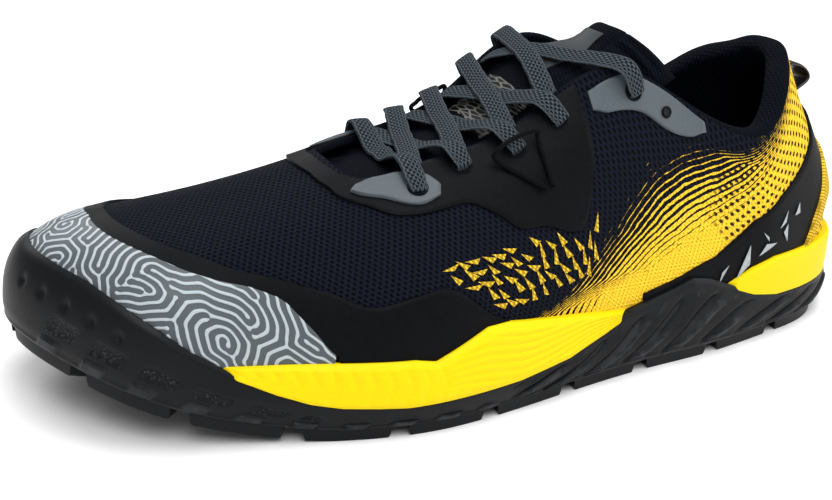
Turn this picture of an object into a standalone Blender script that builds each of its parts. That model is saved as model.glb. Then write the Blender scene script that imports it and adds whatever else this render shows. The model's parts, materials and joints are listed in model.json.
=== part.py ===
"""Low trail running shoe for the left foot, built from its last outwards.

Units are metres. +X runs to the toe, +Y to the outer side of the foot and +Z up.
Shares in the tables are of the named sizes that the column notes give.
"""

import math

import bmesh
import bpy
import numpy as np
from mathutils import Matrix

# Driving sizes of the shoe
LENGTH = 0.290
BALL_WIDTH = 0.109
INSTEP_HEIGHT = 0.100
SIDE_HEIGHT = 0.040
FOOTBED_HEIGHT = 0.012

# Rocker of the sole
TOE_SPRING = 0.020
TOE_BREAK = 0.070
TOE_CURVE = 1.5
HEEL_LIFT = 0.003
HEEL_BREAK = -0.118
FOOTBED_LIFT_SHARE = 0.86

# Walls and clearances
GAP = 0.0003
UPPER_WALL = 0.0022
COLLAR_PADDING = 0.0062
SIDE_THICKNESS = 0.0040
SIDE_LIP = 0.0028
MIDSOLE_WALL = 0.0008
OUTSOLE_PLATE = 0.0030
LUG_HEIGHT = 0.0036
GROUND_INSET = 0.0034

MIDSOLE_INSET = 0.00015
INSOLE_THICKNESS = 0.0030
INSOLE_CLEARANCE = 0.0005

# Run of a rib at which the collar's padding starts, and how far the rim rounds up
PAD_START = 0.62
RIM_ROUND = 0.30

# Lugs of the tread: number round the rim, share of the pitch that each fills, depth inwards,
# slant in ribs and size at the ground
EDGE_LUGS = 22
EDGE_LUG_SHARE = 0.62
EDGE_LUG_DEPTH = 0.0125
EDGE_LUG_SLANT = 0.5
LUG_DRAFT = 0.86

# Chevrons down the middle. x and long: LENGTH. y and half: BALL_WIDTH. way: 1 points at the
# toe, -1 at the heel.
CENTRE_LUGS = (
    (0.385, 0.02, 0.100, 0.030, 1),
    (0.300, -0.17, 0.095, 0.030, 1),
    (0.300, 0.13, 0.095, 0.030, 1),
    (0.205, -0.19, 0.105, 0.032, 1),
    (0.205, 0.16, 0.105, 0.032, 1),
    (0.105, -0.14, 0.100, 0.032, 1),
    (0.105, 0.18, 0.100, 0.032, 1),
    (0.005, 0.03, 0.120, 0.032, 1),
    (-0.095, 0.03, 0.115, 0.032, 1),
    (-0.225, 0.02, 0.100, 0.030, -1),
    (-0.300, 0.01, 0.100, 0.030, -1),
    (-0.375, 0.00, 0.095, 0.030, -1),
)

# Slanted ribs on both sides of the rubber. place: share of the way round from the toe tip.
# width and lean: shares of the way round. low and high: shares of the side's height.
SIDE_RIBS = (
    (0.065, 0.012, 0.008, 0.10, 0.42),
    (0.115, 0.012, 0.008, 0.10, 0.40),
    (0.290, 0.013, 0.012, 0.12, 0.86),
    (0.325, 0.013, 0.014, 0.12, 0.86),
    (0.360, 0.013, 0.014, 0.12, 0.84),
    (0.400, 0.013, 0.010, 0.14, 0.82),
    (0.440, 0.013, 0.008, 0.14, 0.80),
)
SIDE_RIB_HEIGHT = 0.0009

# Overlays on the upper, as pairs of a share of the way round from the toe tip and a share of
# the rib's run. The sole line stands for the top of the sole's side.
OVERLAY_THICKNESS = 0.0008
OVERLAY_CLEARANCE = 0.0006
SOLE_LINE_STEP = 0.018
TOE_CAP_REAR = (
    (0.000, 0.575),
    (0.030, 0.552),
    (0.058, 0.542),
    (0.083, 0.521),
    (0.109, 0.500),
    (0.126, 0.448),
    (0.134, 0.375),
    (0.144, 0.292),
    (0.152, 0.190),
)
FILM_REAR = (
    (0.000, 0.610),
    (0.050, 0.592),
    (0.078, 0.583),
    (0.118, 0.535),
    (0.147, 0.458),
    (0.160, 0.396),
    (0.168, 0.378),
    (0.182, 0.396),
    (0.201, 0.417),
    (0.211, 0.375),
    (0.222, 0.302),
    (0.232, 0.240),
)
EYESTAY_LOW = (
    (0.000, 0.948),
    (0.049, 0.948),
    (0.099, 0.927),
    (0.130, 0.875),
    (0.148, 0.830),
    (0.170, 0.740),
    (0.186, 0.715),
    (0.214, 0.725),
    (0.231, 0.635),
    (0.242, 0.545),
    (0.257, 0.525),
    (0.274, 0.440),
    (0.284, 0.445),
    (0.291, 0.760),
)
EYESTAY_HIGH = 0.985
FRONT_PATCH_LOW = ((0.126, 0.915), (0.158, 0.844), (0.177, 0.771), (0.188, 0.750), (0.196, 0.785))
FRONT_PATCH_HIGH = ((0.126, 0.935), (0.138, 0.970), (0.164, 0.963), (0.190, 0.890), (0.196, 0.810))
TOP_PATCH_LOW = (
    (0.2955, 0.860),
    (0.300, 0.812),
    (0.3256, 0.820),
    (0.3356, 0.781),
    (0.3475, 0.802),
    (0.3575, 0.865),
    (0.362, 0.930),
)
TOP_PATCH_HIGH = ((0.2955, 0.925), (0.307, 0.950), (0.323, 0.985), (0.345, 0.985), (0.362, 0.965))
COUNTER_LOW = (
    (0.320, 0.0),
    (0.380, 0.146),
    (0.3925, 0.208),
    (0.412, 0.229),
    (0.429, 0.220),
    (0.441, 0.281),
    (0.457, 0.365),
    (0.500, 0.420),
)
COUNTER_HIGH = (
    (0.320, 0.150),
    (0.339, 0.190),
    (0.364, 0.302),
    (0.391, 0.521),
    (0.416, 0.610),
    (0.442, 0.635),
    (0.459, 0.667),
    (0.475, 0.745),
    (0.500, 0.780),
)

# Tongue: share of the rib's run at its edges, rows as shares of the way round, and the free
# rows above the throat. end and centre: x, y and z as shares of the sizes.
TONGUE_THICKNESS = 0.0042
TONGUE_CLEARANCE = 0.0006
TONGUE_RUN = 0.86
TONGUE_FULLNESS = 1.0
TONGUE_ROWS = (0.055, 0.095, 0.130, 0.165, 0.195, 0.225, 0.255, 0.285, 0.310)
TONGUE_ACROSS = 8
TONGUE_FREE_ROWS = (
    ((-0.158, 0.172, 0.830), (-0.124, -0.010, 0.960)),
    ((-0.186, 0.174, 0.850), (-0.142, -0.010, 0.995)),
    ((-0.210, 0.160, 0.875), (-0.157, -0.010, 1.010)),
)

# Lace: a flat band. Eyelets are a share of the way round and a share of the rib's run.
LACE_WIDTH = 0.0075
LACE_THICKNESS = 0.0018
LACE_CLEARANCE = 0.0006
LACE_OVER = 0.0013
LACE_RISE = 0.0014
LACE_START = 0.23
LACE_START_LIFT = 0.0012
LACE_STEP = 0.0004
OUTER_EYELETS = ((0.181, 0.835), (0.2106, 0.900), (0.246, 0.880), (0.275, 0.885), (0.321, 0.905))
INNER_EYELETS = ((0.176, 0.880), (0.208, 0.900), (0.238, 0.900), (0.268, 0.900), (0.296, 0.905))

# Cord loops that hold the third row of the lace
CORD_RADIUS = 0.0009
CORD_HOLE = (0.260, 0.650)
CORD_SPREAD = 0.0135

# Pull loop on the heel
PULL_LOOP_WIDTH = 0.010
PULL_LOOP_THICKNESS = 0.0014
PULL_LOOP_REACH = 0.0105
PULL_LOOP_RUNS = (0.935, 0.790)

# Fineness of the loft
RIBS = 80
SIDE_ROWS = 3
WALL_ROWS = 5
FINE_STEPS = 96
NORMAL_BLEND = 0.12

# Outline of the sole and of the top opening, toe tip first, round the outer side to the
# heel and back along the inner side. x and edge_x are shares of LENGTH, y and edge_y of
# BALL_WIDTH, edge_z of INSTEP_HEIGHT and pad of COLLAR_PADDING.
OUTLINE_COLUMNS = ("x", "y", "edge_x", "edge_y", "edge_z", "pad")
OUTLINE = {
    "toe_tip": (0.5, -0.13, 0.186, -0.028, 0.665, 0.0),
    "outer_toe": (0.477, 0.090, 0.186, 0.022, 0.66, 0.0),
    "outer_toe_corner": (0.408, 0.305, 0.183, 0.078, 0.65, 0.0),
    "little_toe": (0.306, 0.395, 0.167, 0.135, 0.645, 0.0),
    "outer_ball": (0.172, 0.489, 0.103, 0.162, 0.69, 0.0),
    "outer_middle": (0.015, 0.463, -0.003, 0.17, 0.785, 0.0),
    "outer_waist": (-0.145, 0.405, -0.124, 0.206, 0.92, 0.15),
    "outer_ankle": (-0.24, 0.388, -0.217, 0.27, 0.77, 0.8),
    "outer_heel": (-0.33, 0.348, -0.297, 0.298, 0.7, 1),
    "outer_heel_corner": (-0.44, 0.255, -0.364, 0.183, 0.845, 1),
    "heel_back": (-0.5, 0.0, -0.397, 0.0, 0.885, 0.8),
    "inner_heel_corner": (-0.44, -0.255, -0.362, -0.188, 0.845, 1),
    "inner_heel": (-0.33, -0.34, -0.3, -0.294, 0.71, 1),
    "inner_ankle": (-0.24, -0.335, -0.214, -0.266, 0.79, 0.8),
    "inner_waist": (-0.145, -0.335, -0.110, -0.216, 0.93, 0.15),
    "inner_arch": (0.015, -0.385, 0.0, -0.180, 0.785, 0.0),
    "inner_ball": (0.19, -0.48, 0.107, -0.162, 0.675, 0.0),
    "big_toe": (0.338, -0.455, 0.166, -0.128, 0.655, 0.0),
    "big_toe_corner": (0.456, -0.345, 0.183, -0.083, 0.66, 0.0),
}

# How each rib of the upper climbs from the sole to the top opening, at a quarter, a half and
# three quarters of its run: in is the share of the way across, up the share of the climb.
# swell is the bulge of the wall half way up, as a share of BALL_WIDTH.
RIB_COLUMNS = ("in_1", "up_1", "in_2", "up_2", "in_3", "up_3", "swell")
RIBS_OF_UPPER = {
    "toe_tip": (0.01, 0.28, 0.14, 0.56, 0.52, 0.75, 0.0),
    "outer_toe": (0.01, 0.28, 0.14, 0.57, 0.52, 0.77, 0.0),
    "outer_toe_corner": (0.02, 0.28, 0.16, 0.57, 0.53, 0.80, 0.0),
    "little_toe": (0.05, 0.29, 0.2, 0.58, 0.55, 0.82, 0.0),
    "outer_ball": (0.05, 0.29, 0.23, 0.6, 0.58, 0.84, 0.0),
    "outer_middle": (0.06, 0.28, 0.24, 0.58, 0.56, 0.82, 0.0),
    "outer_waist": (0.08, 0.28, 0.27, 0.56, 0.58, 0.8, 0.0),
    "outer_ankle": (0.16, 0.26, 0.36, 0.52, 0.64, 0.77, 0.005),
    "outer_heel": (0.2, 0.25, 0.5, 0.5, 0.78, 0.75, 0.02),
    "outer_heel_corner": (-0.02, 0.25, 0.22, 0.5, 0.6, 0.75, 0.0),
    "heel_back": (-0.1, 0.25, 0.13, 0.5, 0.58, 0.75, 0.0),
    "inner_heel_corner": (-0.02, 0.25, 0.22, 0.5, 0.6, 0.75, 0.0),
    "inner_heel": (0.2, 0.25, 0.5, 0.5, 0.78, 0.75, 0.02),
    "inner_ankle": (0.16, 0.26, 0.36, 0.52, 0.64, 0.77, 0.005),
    "inner_waist": (0.08, 0.28, 0.27, 0.56, 0.58, 0.8, 0.0),
    "inner_arch": (0.06, 0.28, 0.24, 0.58, 0.56, 0.82, 0.0),
    "inner_ball": (0.05, 0.27, 0.23, 0.55, 0.58, 0.79, 0.0),
    "big_toe": (0.05, 0.27, 0.2, 0.52, 0.54, 0.73, 0.0),
    "big_toe_corner": (0.02, 0.27, 0.16, 0.53, 0.53, 0.72, 0.0),
}

# Top lines of the sole's two layers along each side, from toe to heel, as pairs of x, a
# share of LENGTH, and height, a share of SIDE_HEIGHT.
OUTER_OUTSOLE_TOP = (
    (0.500, 1.137),
    (0.493, 1.125),
    (0.469, 1.075),
    (0.448, 1.000),
    (0.411, 0.850),
    (0.383, 0.713),
    (0.362, 0.625),
    (0.341, 0.537),
    (0.304, 0.412),
    (0.272, 0.330),
    (0.243, 0.287),
    (0.178, 0.250),
    (0.105, 0.263),
    (0.047, 0.275),
    (-0.021, 0.338),
    (-0.072, 0.450),
    (-0.111, 0.550),
    (-0.174, 0.637),
    (-0.202, 0.688),
    (-0.228, 0.655),
    (-0.253, 0.588),
    (-0.298, 0.463),
    (-0.338, 0.400),
    (-0.384, 0.388),
    (-0.500, 0.388),
)
OUTER_MIDSOLE_TOP = (
    (0.500, 0.600),
    (0.362, 0.600),
    (0.316, 0.585),
    (0.248, 0.570),
    (0.194, 0.562),
    (0.172, 0.560),
    (0.148, 0.530),
    (0.105, 0.655),
    (0.088, 0.705),
    (0.062, 0.708),
    (0.036, 0.680),
    (-0.044, 0.608),
    (-0.111, 0.537),
    (-0.241, 0.537),
    (-0.264, 0.575),
    (-0.298, 0.662),
    (-0.338, 0.713),
    (-0.500, 0.688),
)
INNER_OUTSOLE_TOP = (
    (0.500, 1.137),
    (0.476, 1.075),
    (0.448, 0.988),
    (0.414, 0.838),
    (0.386, 0.700),
    (0.366, 0.600),
    (0.317, 0.412),
    (0.259, 0.300),
    (0.172, 0.263),
    (0.052, 0.287),
    (-0.034, 0.362),
    (-0.103, 0.537),
    (-0.172, 0.650),
    (-0.207, 0.675),
    (-0.248, 0.600),
    (-0.298, 0.463),
    (-0.338, 0.400),
    (-0.384, 0.388),
    (-0.500, 0.388),
)
INNER_MIDSOLE_TOP = (
    (0.500, 0.600),
    (0.366, 0.588),
    (0.317, 0.580),
    (0.248, 0.575),
    (0.172, 0.600),
    (0.052, 0.700),
    (-0.034, 0.675),
    (-0.114, 0.537),
    (-0.241, 0.537),
    (-0.264, 0.575),
    (-0.298, 0.662),
    (-0.338, 0.713),
    (-0.500, 0.688),
)


def closed_spline(knots, period, values, at):
    """Smooth closed curve through values at knots, read at the places in at."""
    count = len(knots)
    spans = np.diff(np.append(knots, knots[0] + period))
    matrix = np.zeros((count, count))
    right = np.zeros((count, values.shape[1]))
    for i in range(count):
        before, after = spans[i - 1], spans[i]
        here, there = values[i], values[(i + 1) % count]
        matrix[i, i - 1] += 1 / before
        matrix[i, i] += 2 * (1 / before + 1 / after)
        matrix[i, (i + 1) % count] += 1 / after
        right[i] = 3 * ((here - values[i - 1]) / before**2 + (there - here) / after**2)
    slopes = np.linalg.solve(matrix, right)
    ends = np.append(knots, knots[0] + period)
    i = np.clip(np.searchsorted(ends, at, side="right") - 1, 0, count - 1)
    j = (i + 1) % count
    span = spans[i][:, None]
    t = (at - knots[i])[:, None] / span
    start = (2 * t**3 - 3 * t**2 + 1) * values[i] + (t**3 - 2 * t**2 + t) * span * slopes[i]
    return start + (3 * t**2 - 2 * t**3) * values[j] + (t**3 - t**2) * span * slopes[j]


def open_spline(values, at):
    """Natural cubic curve through evenly spaced values, read at shares 0 to 1 of its run."""
    count = len(values)
    matrix = np.zeros((count, count))
    right = np.zeros_like(values)
    matrix[0, 0] = matrix[-1, -1] = 2
    matrix[0, 1] = matrix[-1, -2] = 1
    right[0], right[-1] = 3 * (values[1] - values[0]), 3 * (values[-1] - values[-2])
    for i in range(1, count - 1):
        matrix[i, i - 1 : i + 2] = 1, 4, 1
        right[i] = 3 * (values[i + 1] - values[i - 1])
    slopes = np.linalg.solve(matrix, right.reshape(count, -1)).reshape(values.shape)
    place = np.asarray(at) * (count - 1)
    i = np.clip(place.astype(int), 0, count - 2)
    t = (place - i).reshape((-1,) + (1,) * (values.ndim - 1))
    start = (2 * t**3 - 3 * t**2 + 1) * values[i] + (t**3 - 2 * t**2 + t) * slopes[i]
    return start + (3 * t**2 - 2 * t**3) * values[i + 1] + (t**3 - t**2) * slopes[i + 1]


def ground_lift(x):
    """Height of the sole's underside above the floor at x, from its rocker."""
    toe = np.clip((x - TOE_BREAK) / (LENGTH / 2 - TOE_BREAK), 0, None)
    heel = np.clip((HEEL_BREAK - x) / (HEEL_BREAK + LENGTH / 2), 0, None)
    return TOE_SPRING * toe**TOE_CURVE + HEEL_LIFT * heel**2


def unit(vectors):
    """The vectors at length one."""
    return vectors / np.linalg.norm(vectors, axis=-1, keepdims=True)


class Last:
    """The upper's outer surface, as ribs that climb from the sole to the top opening."""

    def __init__(self, ribs):
        self.ribs = ribs
        shares = np.array(list(OUTLINE.values()))
        sizes = (LENGTH, BALL_WIDTH, LENGTH, BALL_WIDTH, INSTEP_HEIGHT, COLLAR_PADDING)
        stations = shares * sizes
        around = np.linalg.norm(np.diff(stations[:, :2], axis=0, append=stations[:1, :2]), axis=1)
        knots = np.concatenate([[0], np.cumsum(around)[:-1]])
        heel = knots[list(OUTLINE).index("heel_back")]
        half = ribs // 2
        outer = np.linspace(0, heel, half, endpoint=False)
        inner = np.linspace(heel, around.sum(), ribs - half, endpoint=False)
        at = np.concatenate([outer, inner])
        curves = closed_spline(knots, around.sum(), stations, at)
        shape = closed_spline(knots, around.sum(), np.array(list(RIBS_OF_UPPER.values())), at)
        self.outline, self.edge = curves[:, :2], curves[:, 2:5]
        self.pad = np.clip(curves[:, 5], 0, COLLAR_PADDING)
        along = np.roll(self.outline, -1, axis=0) - np.roll(self.outline, 1, axis=0)
        self.plan_normal = unit(np.stack([-along[:, 1], along[:, 0]], axis=1)) * -1
        self.lift = ground_lift(self.outline[:, 0])
        foot_height = FOOTBED_HEIGHT + FOOTBED_LIFT_SHARE * self.lift
        inset = self.outline - self.plan_normal * SIDE_THICKNESS
        self.foot = np.column_stack([inset, foot_height])
        self.fine = np.linspace(0, 1, FINE_STEPS + 1)
        self.points = self.climb(shape)
        self.normals = self.facing()
        self.top_lines()

    def climb(self, shape):
        """Points of every rib at the fine steps, as an array of ribs by steps by 3."""
        zero, one = np.zeros(self.ribs), np.ones(self.ribs)
        across = open_spline(np.array([zero, shape[:, 0], shape[:, 2], shape[:, 4], one]), self.fine)
        up = open_spline(np.array([zero, shape[:, 1], shape[:, 3], shape[:, 5], one]), self.fine)
        reach = (self.edge - self.foot)[:, None, :]
        share = np.stack([across.T, across.T, up.T], axis=2)
        points = self.foot[:, None, :] + reach * share
        bulge = shape[:, 6:7] * BALL_WIDTH * np.sin(math.pi * self.fine)[None, :]
        points[:, :, :2] += self.plan_normal[:, None, :] * bulge[:, :, None]
        return points

    def facing(self):
        """Outward normals at every point of the ribs."""
        round_the_shoe = np.roll(self.points, -1, axis=0) - np.roll(self.points, 1, axis=0)
        normals = unit(np.cross(round_the_shoe, np.gradient(self.points, axis=1)))
        level = np.concatenate([self.plan_normal, np.zeros((self.ribs, 1))], axis=1)[:, None, :]
        share = np.clip(self.fine / NORMAL_BLEND, 0, 1)[None, :, None]
        return unit(level * (1 - share) + normals * share)

    def top_lines(self):
        """Heights of the outsole's and midsole's top lines at every rib."""
        is_outer = np.arange(self.ribs) <= self.ribs // 2
        sides = ((OUTER_OUTSOLE_TOP, INNER_OUTSOLE_TOP), (OUTER_MIDSOLE_TOP, INNER_MIDSOLE_TOP))
        tops = []
        for outer, inner in sides:
            outer, inner = np.array(outer[::-1]), np.array(inner[::-1])
            share = self.outline[:, 0] / LENGTH
            on_outer = np.interp(share, outer[:, 0], outer[:, 1])
            on_inner = np.interp(share, inner[:, 0], inner[:, 1])
            tops.append(np.where(is_outer, on_outer, on_inner) * SIDE_HEIGHT)
        self.outsole_top, self.midsole_top = tops
        self.side_top = np.maximum(*tops)

    def run_at_height(self, height):
        """Share of each rib's run at which it reaches a height."""
        heights = zip(height, self.points[:, :, 2])
        return np.array([np.interp(z, rib, self.fine) for z, rib in heights])

    def at(self, run, offset=0.0, rows=None):
        """Point of the ribs in rows at shares of their run, moved out along the normal."""
        rows = np.arange(self.ribs) if rows is None else np.asarray(rows) % self.ribs
        place = np.clip(np.broadcast_to(run, rows.shape), 0, 1) * FINE_STEPS
        i = np.minimum(place.astype(int), FINE_STEPS - 1)
        t = (place - i)[:, None]
        point = self.points[rows, i] * (1 - t) + self.points[rows, i + 1] * t
        normal = unit(self.normals[rows, i] * (1 - t) + self.normals[rows, i + 1] * t)
        return point + normal * np.broadcast_to(offset, rows.shape)[:, None]

    def upper_rows(self, start):
        """Shares of the run at which the upper has its rows, two of them along the sole."""
        foot, top = self.foot[:, 2], self.side_top
        along_sole = [self.run_at_height((foot + top) / 2), self.run_at_height(top)]
        steps = range(1, WALL_ROWS + 1)
        free = [along_sole[1] + (1 - along_sole[1]) * step / WALL_ROWS for step in steps]
        return [start, *along_sole, *free]

    def between(self, place, run, offset=0.0):
        """Point at a fractional place round the ribs, a share of the run and an offset."""
        place = np.atleast_1d(np.asarray(place, dtype=float))
        first = np.floor(place).astype(int)
        t = (place - first)[:, None]
        here = self.at(run, offset, first)
        return here * (1 - t) + self.at(run, offset, first + 1) * t

    def cover(self, height):
        """Thickness of the sole's side over the upper at a height of each rib."""
        rise = height - self.foot[:, 2]
        share = np.clip(rise / (self.side_top - self.foot[:, 2]), 0, 1)
        return SIDE_THICKNESS + (SIDE_LIP - SIDE_THICKNESS) * share

    def side(self, height, cover):
        """Points of the sole's side at a height, at a cover out from the upper's line."""
        height = np.broadcast_to(height, (self.ribs,))
        cover = np.broadcast_to(cover, (self.ribs,))
        above = self.at(self.run_at_height(height), cover)
        drop = (self.foot[:, 2] - height) / (self.foot[:, 2] - self.lift)
        inset = GROUND_INSET * np.clip(drop, 0, 1) ** 2 + SIDE_THICKNESS - cover
        plan = self.outline - self.plan_normal * inset[:, None]
        below = np.column_stack([plan, height])
        return np.where((height > self.foot[:, 2])[:, None], above, below)


# Meshes
def grow(mesh, ring):
    """Adds a ring of points to the mesh and returns its vertices."""
    return [mesh.verts.new(point) for point in ring]


def band(mesh, low, high):
    """Closes the strip between two rings of vertices."""
    count = len(low)
    for i in range(count):
        j = (i + 1) % count
        mesh.faces.new((low[i], low[j], high[j], high[i]))


def ladder(mesh, ring, upwards):
    """Closes a ring with rungs that run across from side to side."""
    count = len(ring)
    half = count // 2
    rungs = [(ring[0], ring[1], ring[-1])]
    for i in range(1, half - 1):
        rungs.append((ring[i], ring[i + 1], ring[count - i - 1], ring[count - i]))
    rungs.append((ring[half - 1], ring[half], ring[half + 1]))
    for rung in rungs:
        mesh.faces.new(rung if not upwards else rung[::-1])


def add_object(name, mesh, material, smooth=40):
    """Makes the part's object from a mesh, with its faces pointing out of one closed body."""
    bmesh.ops.triangulate(mesh, faces=[f for f in mesh.faces if len(f.verts) > 4])
    bmesh.ops.triangulate(mesh, faces=mesh.faces[:], quad_method="SHORT_EDGE")
    bmesh.ops.recalc_face_normals(mesh, faces=mesh.faces[:])
    if mesh.calc_volume(signed=True) < 0:
        bmesh.ops.reverse_faces(mesh, faces=mesh.faces[:])
    data = bpy.data.meshes.new(name)
    mesh.to_mesh(data)
    mesh.free()
    data.materials.append(material)
    body = bpy.data.objects.new(name, data)
    PARTS.objects.link(body)
    data.shade_smooth()
    data.set_sharp_from_angle(angle=math.radians(smooth))
    return body


def join_solids(body, tools):
    """Unites closed solids with a body by an exact Boolean and drops the helpers."""
    for number, tool in enumerate(tools):
        CUTTERS.objects.link(tool)
        tool.hide_render = True
        tool.display_type = "WIRE"
        union = body.modifiers.new(f"join_{number}", "BOOLEAN")
        union.operation = "UNION"
        union.solver = "EXACT"
        union.object = tool


def solid(name, mesh):
    """Makes a helper solid that a Boolean reads."""
    bmesh.ops.recalc_face_normals(mesh, faces=mesh.faces[:])
    data = bpy.data.meshes.new(name)
    mesh.to_mesh(data)
    mesh.free()
    return bpy.data.objects.new(name, data)


def material(name, colour, roughness):
    """Makes a plain surface for a part."""
    made = bpy.data.materials.new(name)
    made.use_nodes = True
    surface = made.node_tree.nodes["Principled BSDF"]
    surface.inputs["Base Color"].default_value = (*colour, 1)
    surface.inputs["Roughness"].default_value = roughness
    return made


def prism(mesh, low, high):
    """Adds a closed prism between two outlines of the same number of points."""
    floor, roof = grow(mesh, low), grow(mesh, high)
    band(mesh, floor, roof)
    mesh.faces.new(floor[::-1])
    mesh.faces.new(roof)


def build_upper(last):
    """Hollow upper with a real wall, open at collar and throat and underneath."""
    mesh = bmesh.new()
    start = last.run_at_height(last.foot[:, 2] + GAP)
    low = last.at(start)
    low[:, 2] = last.foot[:, 2] + GAP
    runs = last.upper_rows(start)
    rings = [low]
    for run in runs[1:]:
        rings.append(last.at(run))
    wall = UPPER_WALL + last.pad
    end = last.at(1.0)
    back = unit(last.points[:, -1] - last.points[:, -4])
    rings.append(last.at(1.0, -wall / 2) + back * (wall * RIM_ROUND)[:, None])
    rings.append(last.at(1.0, -wall))
    for run in runs[-2:0:-1]:
        swell = np.clip((run - PAD_START) / (1 - PAD_START), 0, 1) ** 1.5
        rings.append(last.at(run, -UPPER_WALL - last.pad * swell))
    inside = last.at(start, -UPPER_WALL)
    inside[:, 2] = last.foot[:, 2] + GAP
    rings.append(inside)
    made = [grow(mesh, ring) for ring in rings]
    for below, above in zip(made, made[1:] + made[:1]):
        band(mesh, below, above)
    return add_object("upper", mesh, MATERIALS["mesh"], 50)


class SoleLayers:
    """Which ribs show the midsole, and the cover of the rubber over it."""

    def __init__(self, last):
        top = last.outsole_top
        self.shown = last.midsole_top > top + 0.0015
        near = self.shown | np.roll(self.shown, 1) | np.roll(self.shown, -1)
        self.hidden_wall = near & ~self.shown
        self.wall = near
        self.layer = near | np.roll(near, 1) | np.roll(near, -1)
        self.plate = last.lift + LUG_HEIGHT + OUTSOLE_PLATE


def build_outsole(last, layers):
    """Rubber cup with its side wall, toe bumper, lugs and side ribs."""
    mesh = bmesh.new()
    low, top = last.lift + LUG_HEIGHT, last.outsole_top
    inner = np.where(layers.layer, MIDSOLE_WALL + 2 * GAP, GAP)
    rings = []
    for row in range(SIDE_ROWS + 1):
        height = low + (top - low) * row / SIDE_ROWS
        rings.append(last.side(height, last.cover(height)))
    turn = np.minimum(last.foot[:, 2], top - 0.35 * (top - layers.plate))
    rings.append(last.side(top, inner))
    rings.append(last.side((top + turn) / 2, inner))
    rings.append(last.side(turn, inner))
    rings.append(last.side(layers.plate, MIDSOLE_WALL + 2 * GAP))
    made = [grow(mesh, ring) for ring in rings]
    for below, above in zip(made, made[1:]):
        band(mesh, below, above)
    ladder(mesh, made[0], False)
    ladder(mesh, made[-1], True)
    body = add_object("outsole", mesh, MATERIALS["rubber"])
    join_solids(body, [edge_lugs(last), centre_lugs(last), side_ribs(last)])
    return body


def edge_lugs(last):
    """Row of lugs round the rim of the tread."""
    mesh = bmesh.new()
    count = EDGE_LUGS
    for k in range(count):
        first = (k + 0.5 - EDGE_LUG_SHARE / 2) * last.ribs / count
        final = (k + 0.5 + EDGE_LUG_SHARE / 2) * last.ribs / count
        places = np.array([first, (first + final) / 2, final])
        corners = []
        for inward, slant in ((0.0008, 0.0), (EDGE_LUG_DEPTH, EDGE_LUG_SLANT)):
            shifted = places + slant if k < count / 2 else places - slant
            corners.append(tread_point(last, shifted, inward))
        outline = np.vstack([corners[0], corners[1][::-1][[0, 2]]])
        add_lug(mesh, outline)
    return solid("edge_lugs", mesh)


def tread_point(last, place, inward):
    """Plan points a distance inward of the tread's rim at fractional places."""
    place = np.atleast_1d(place)
    first = np.floor(place).astype(int)
    t = (place - first)[:, None]
    plan = last.outline - last.plan_normal * (GROUND_INSET * 0.55 + inward)
    return plan[first % last.ribs] * (1 - t) + plan[(first + 1) % last.ribs] * t


def add_lug(mesh, outline):
    """Adds one lug under a plan outline, narrower at the ground than at the plate."""
    centre = outline.mean(axis=0)
    foot = centre + (outline - centre) * LUG_DRAFT
    floor = np.column_stack([foot, ground_lift(foot[:, 0])])
    roof = np.column_stack([outline, ground_lift(outline[:, 0]) + LUG_HEIGHT + 0.0012])
    prism(mesh, floor, roof)


def centre_lugs(last):
    """Chevron lugs down the middle of the tread, pointing at the toe."""
    mesh = bmesh.new()
    for x, y, half, long, way in CENTRE_LUGS:
        x, y, half, long = x * LENGTH, y * BALL_WIDTH, half * BALL_WIDTH, long * LENGTH
        back = long * way
        shape = ((0, 0), (-back, -half), (-back - long * 0.9 * way, -half))
        mirror = ((-long * 0.9 * way, 0), (-back - long * 0.9 * way, half), (-back, half))
        outline = np.array([(x + dx, y + dy) for dx, dy in shape + mirror])
        add_lug(mesh, outline)
    return solid("centre_lugs", mesh)


def side_ribs(last):
    """Slanted ribs that stand out of the rubber's side."""
    mesh = bmesh.new()
    for place, width, lean, low, high in SIDE_RIBS:
        for side in (1, -1):
            here = side * place * last.ribs
            corners = []
            for share, shift in ((low, 0.0), (high, lean)):
                for edge in (-width / 2, width / 2):
                    where = here + side * (edge + shift) * last.ribs
                    corners.append((where, share))
            order = (0, 1, 3, 2)
            inner = np.array([side_point(last, *corners[k], -0.0008) for k in order])
            outer = np.array([side_point(last, *corners[k], SIDE_RIB_HEIGHT) for k in order])
            centre = outer.mean(axis=0)
            prism(mesh, inner, centre + (outer - centre) * 0.8)
    return solid("side_ribs", mesh)


def side_point(last, place, share, out):
    """Point of the rubber's side at a fractional place and a share of its height."""
    low = last.lift + LUG_HEIGHT
    height = low + (last.outsole_top - low) * share
    ring = last.side(height, last.cover(height) + out)
    first = math.floor(place)
    t = place - first
    return ring[first % last.ribs] * (1 - t) + ring[(first + 1) % last.ribs] * t


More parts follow.
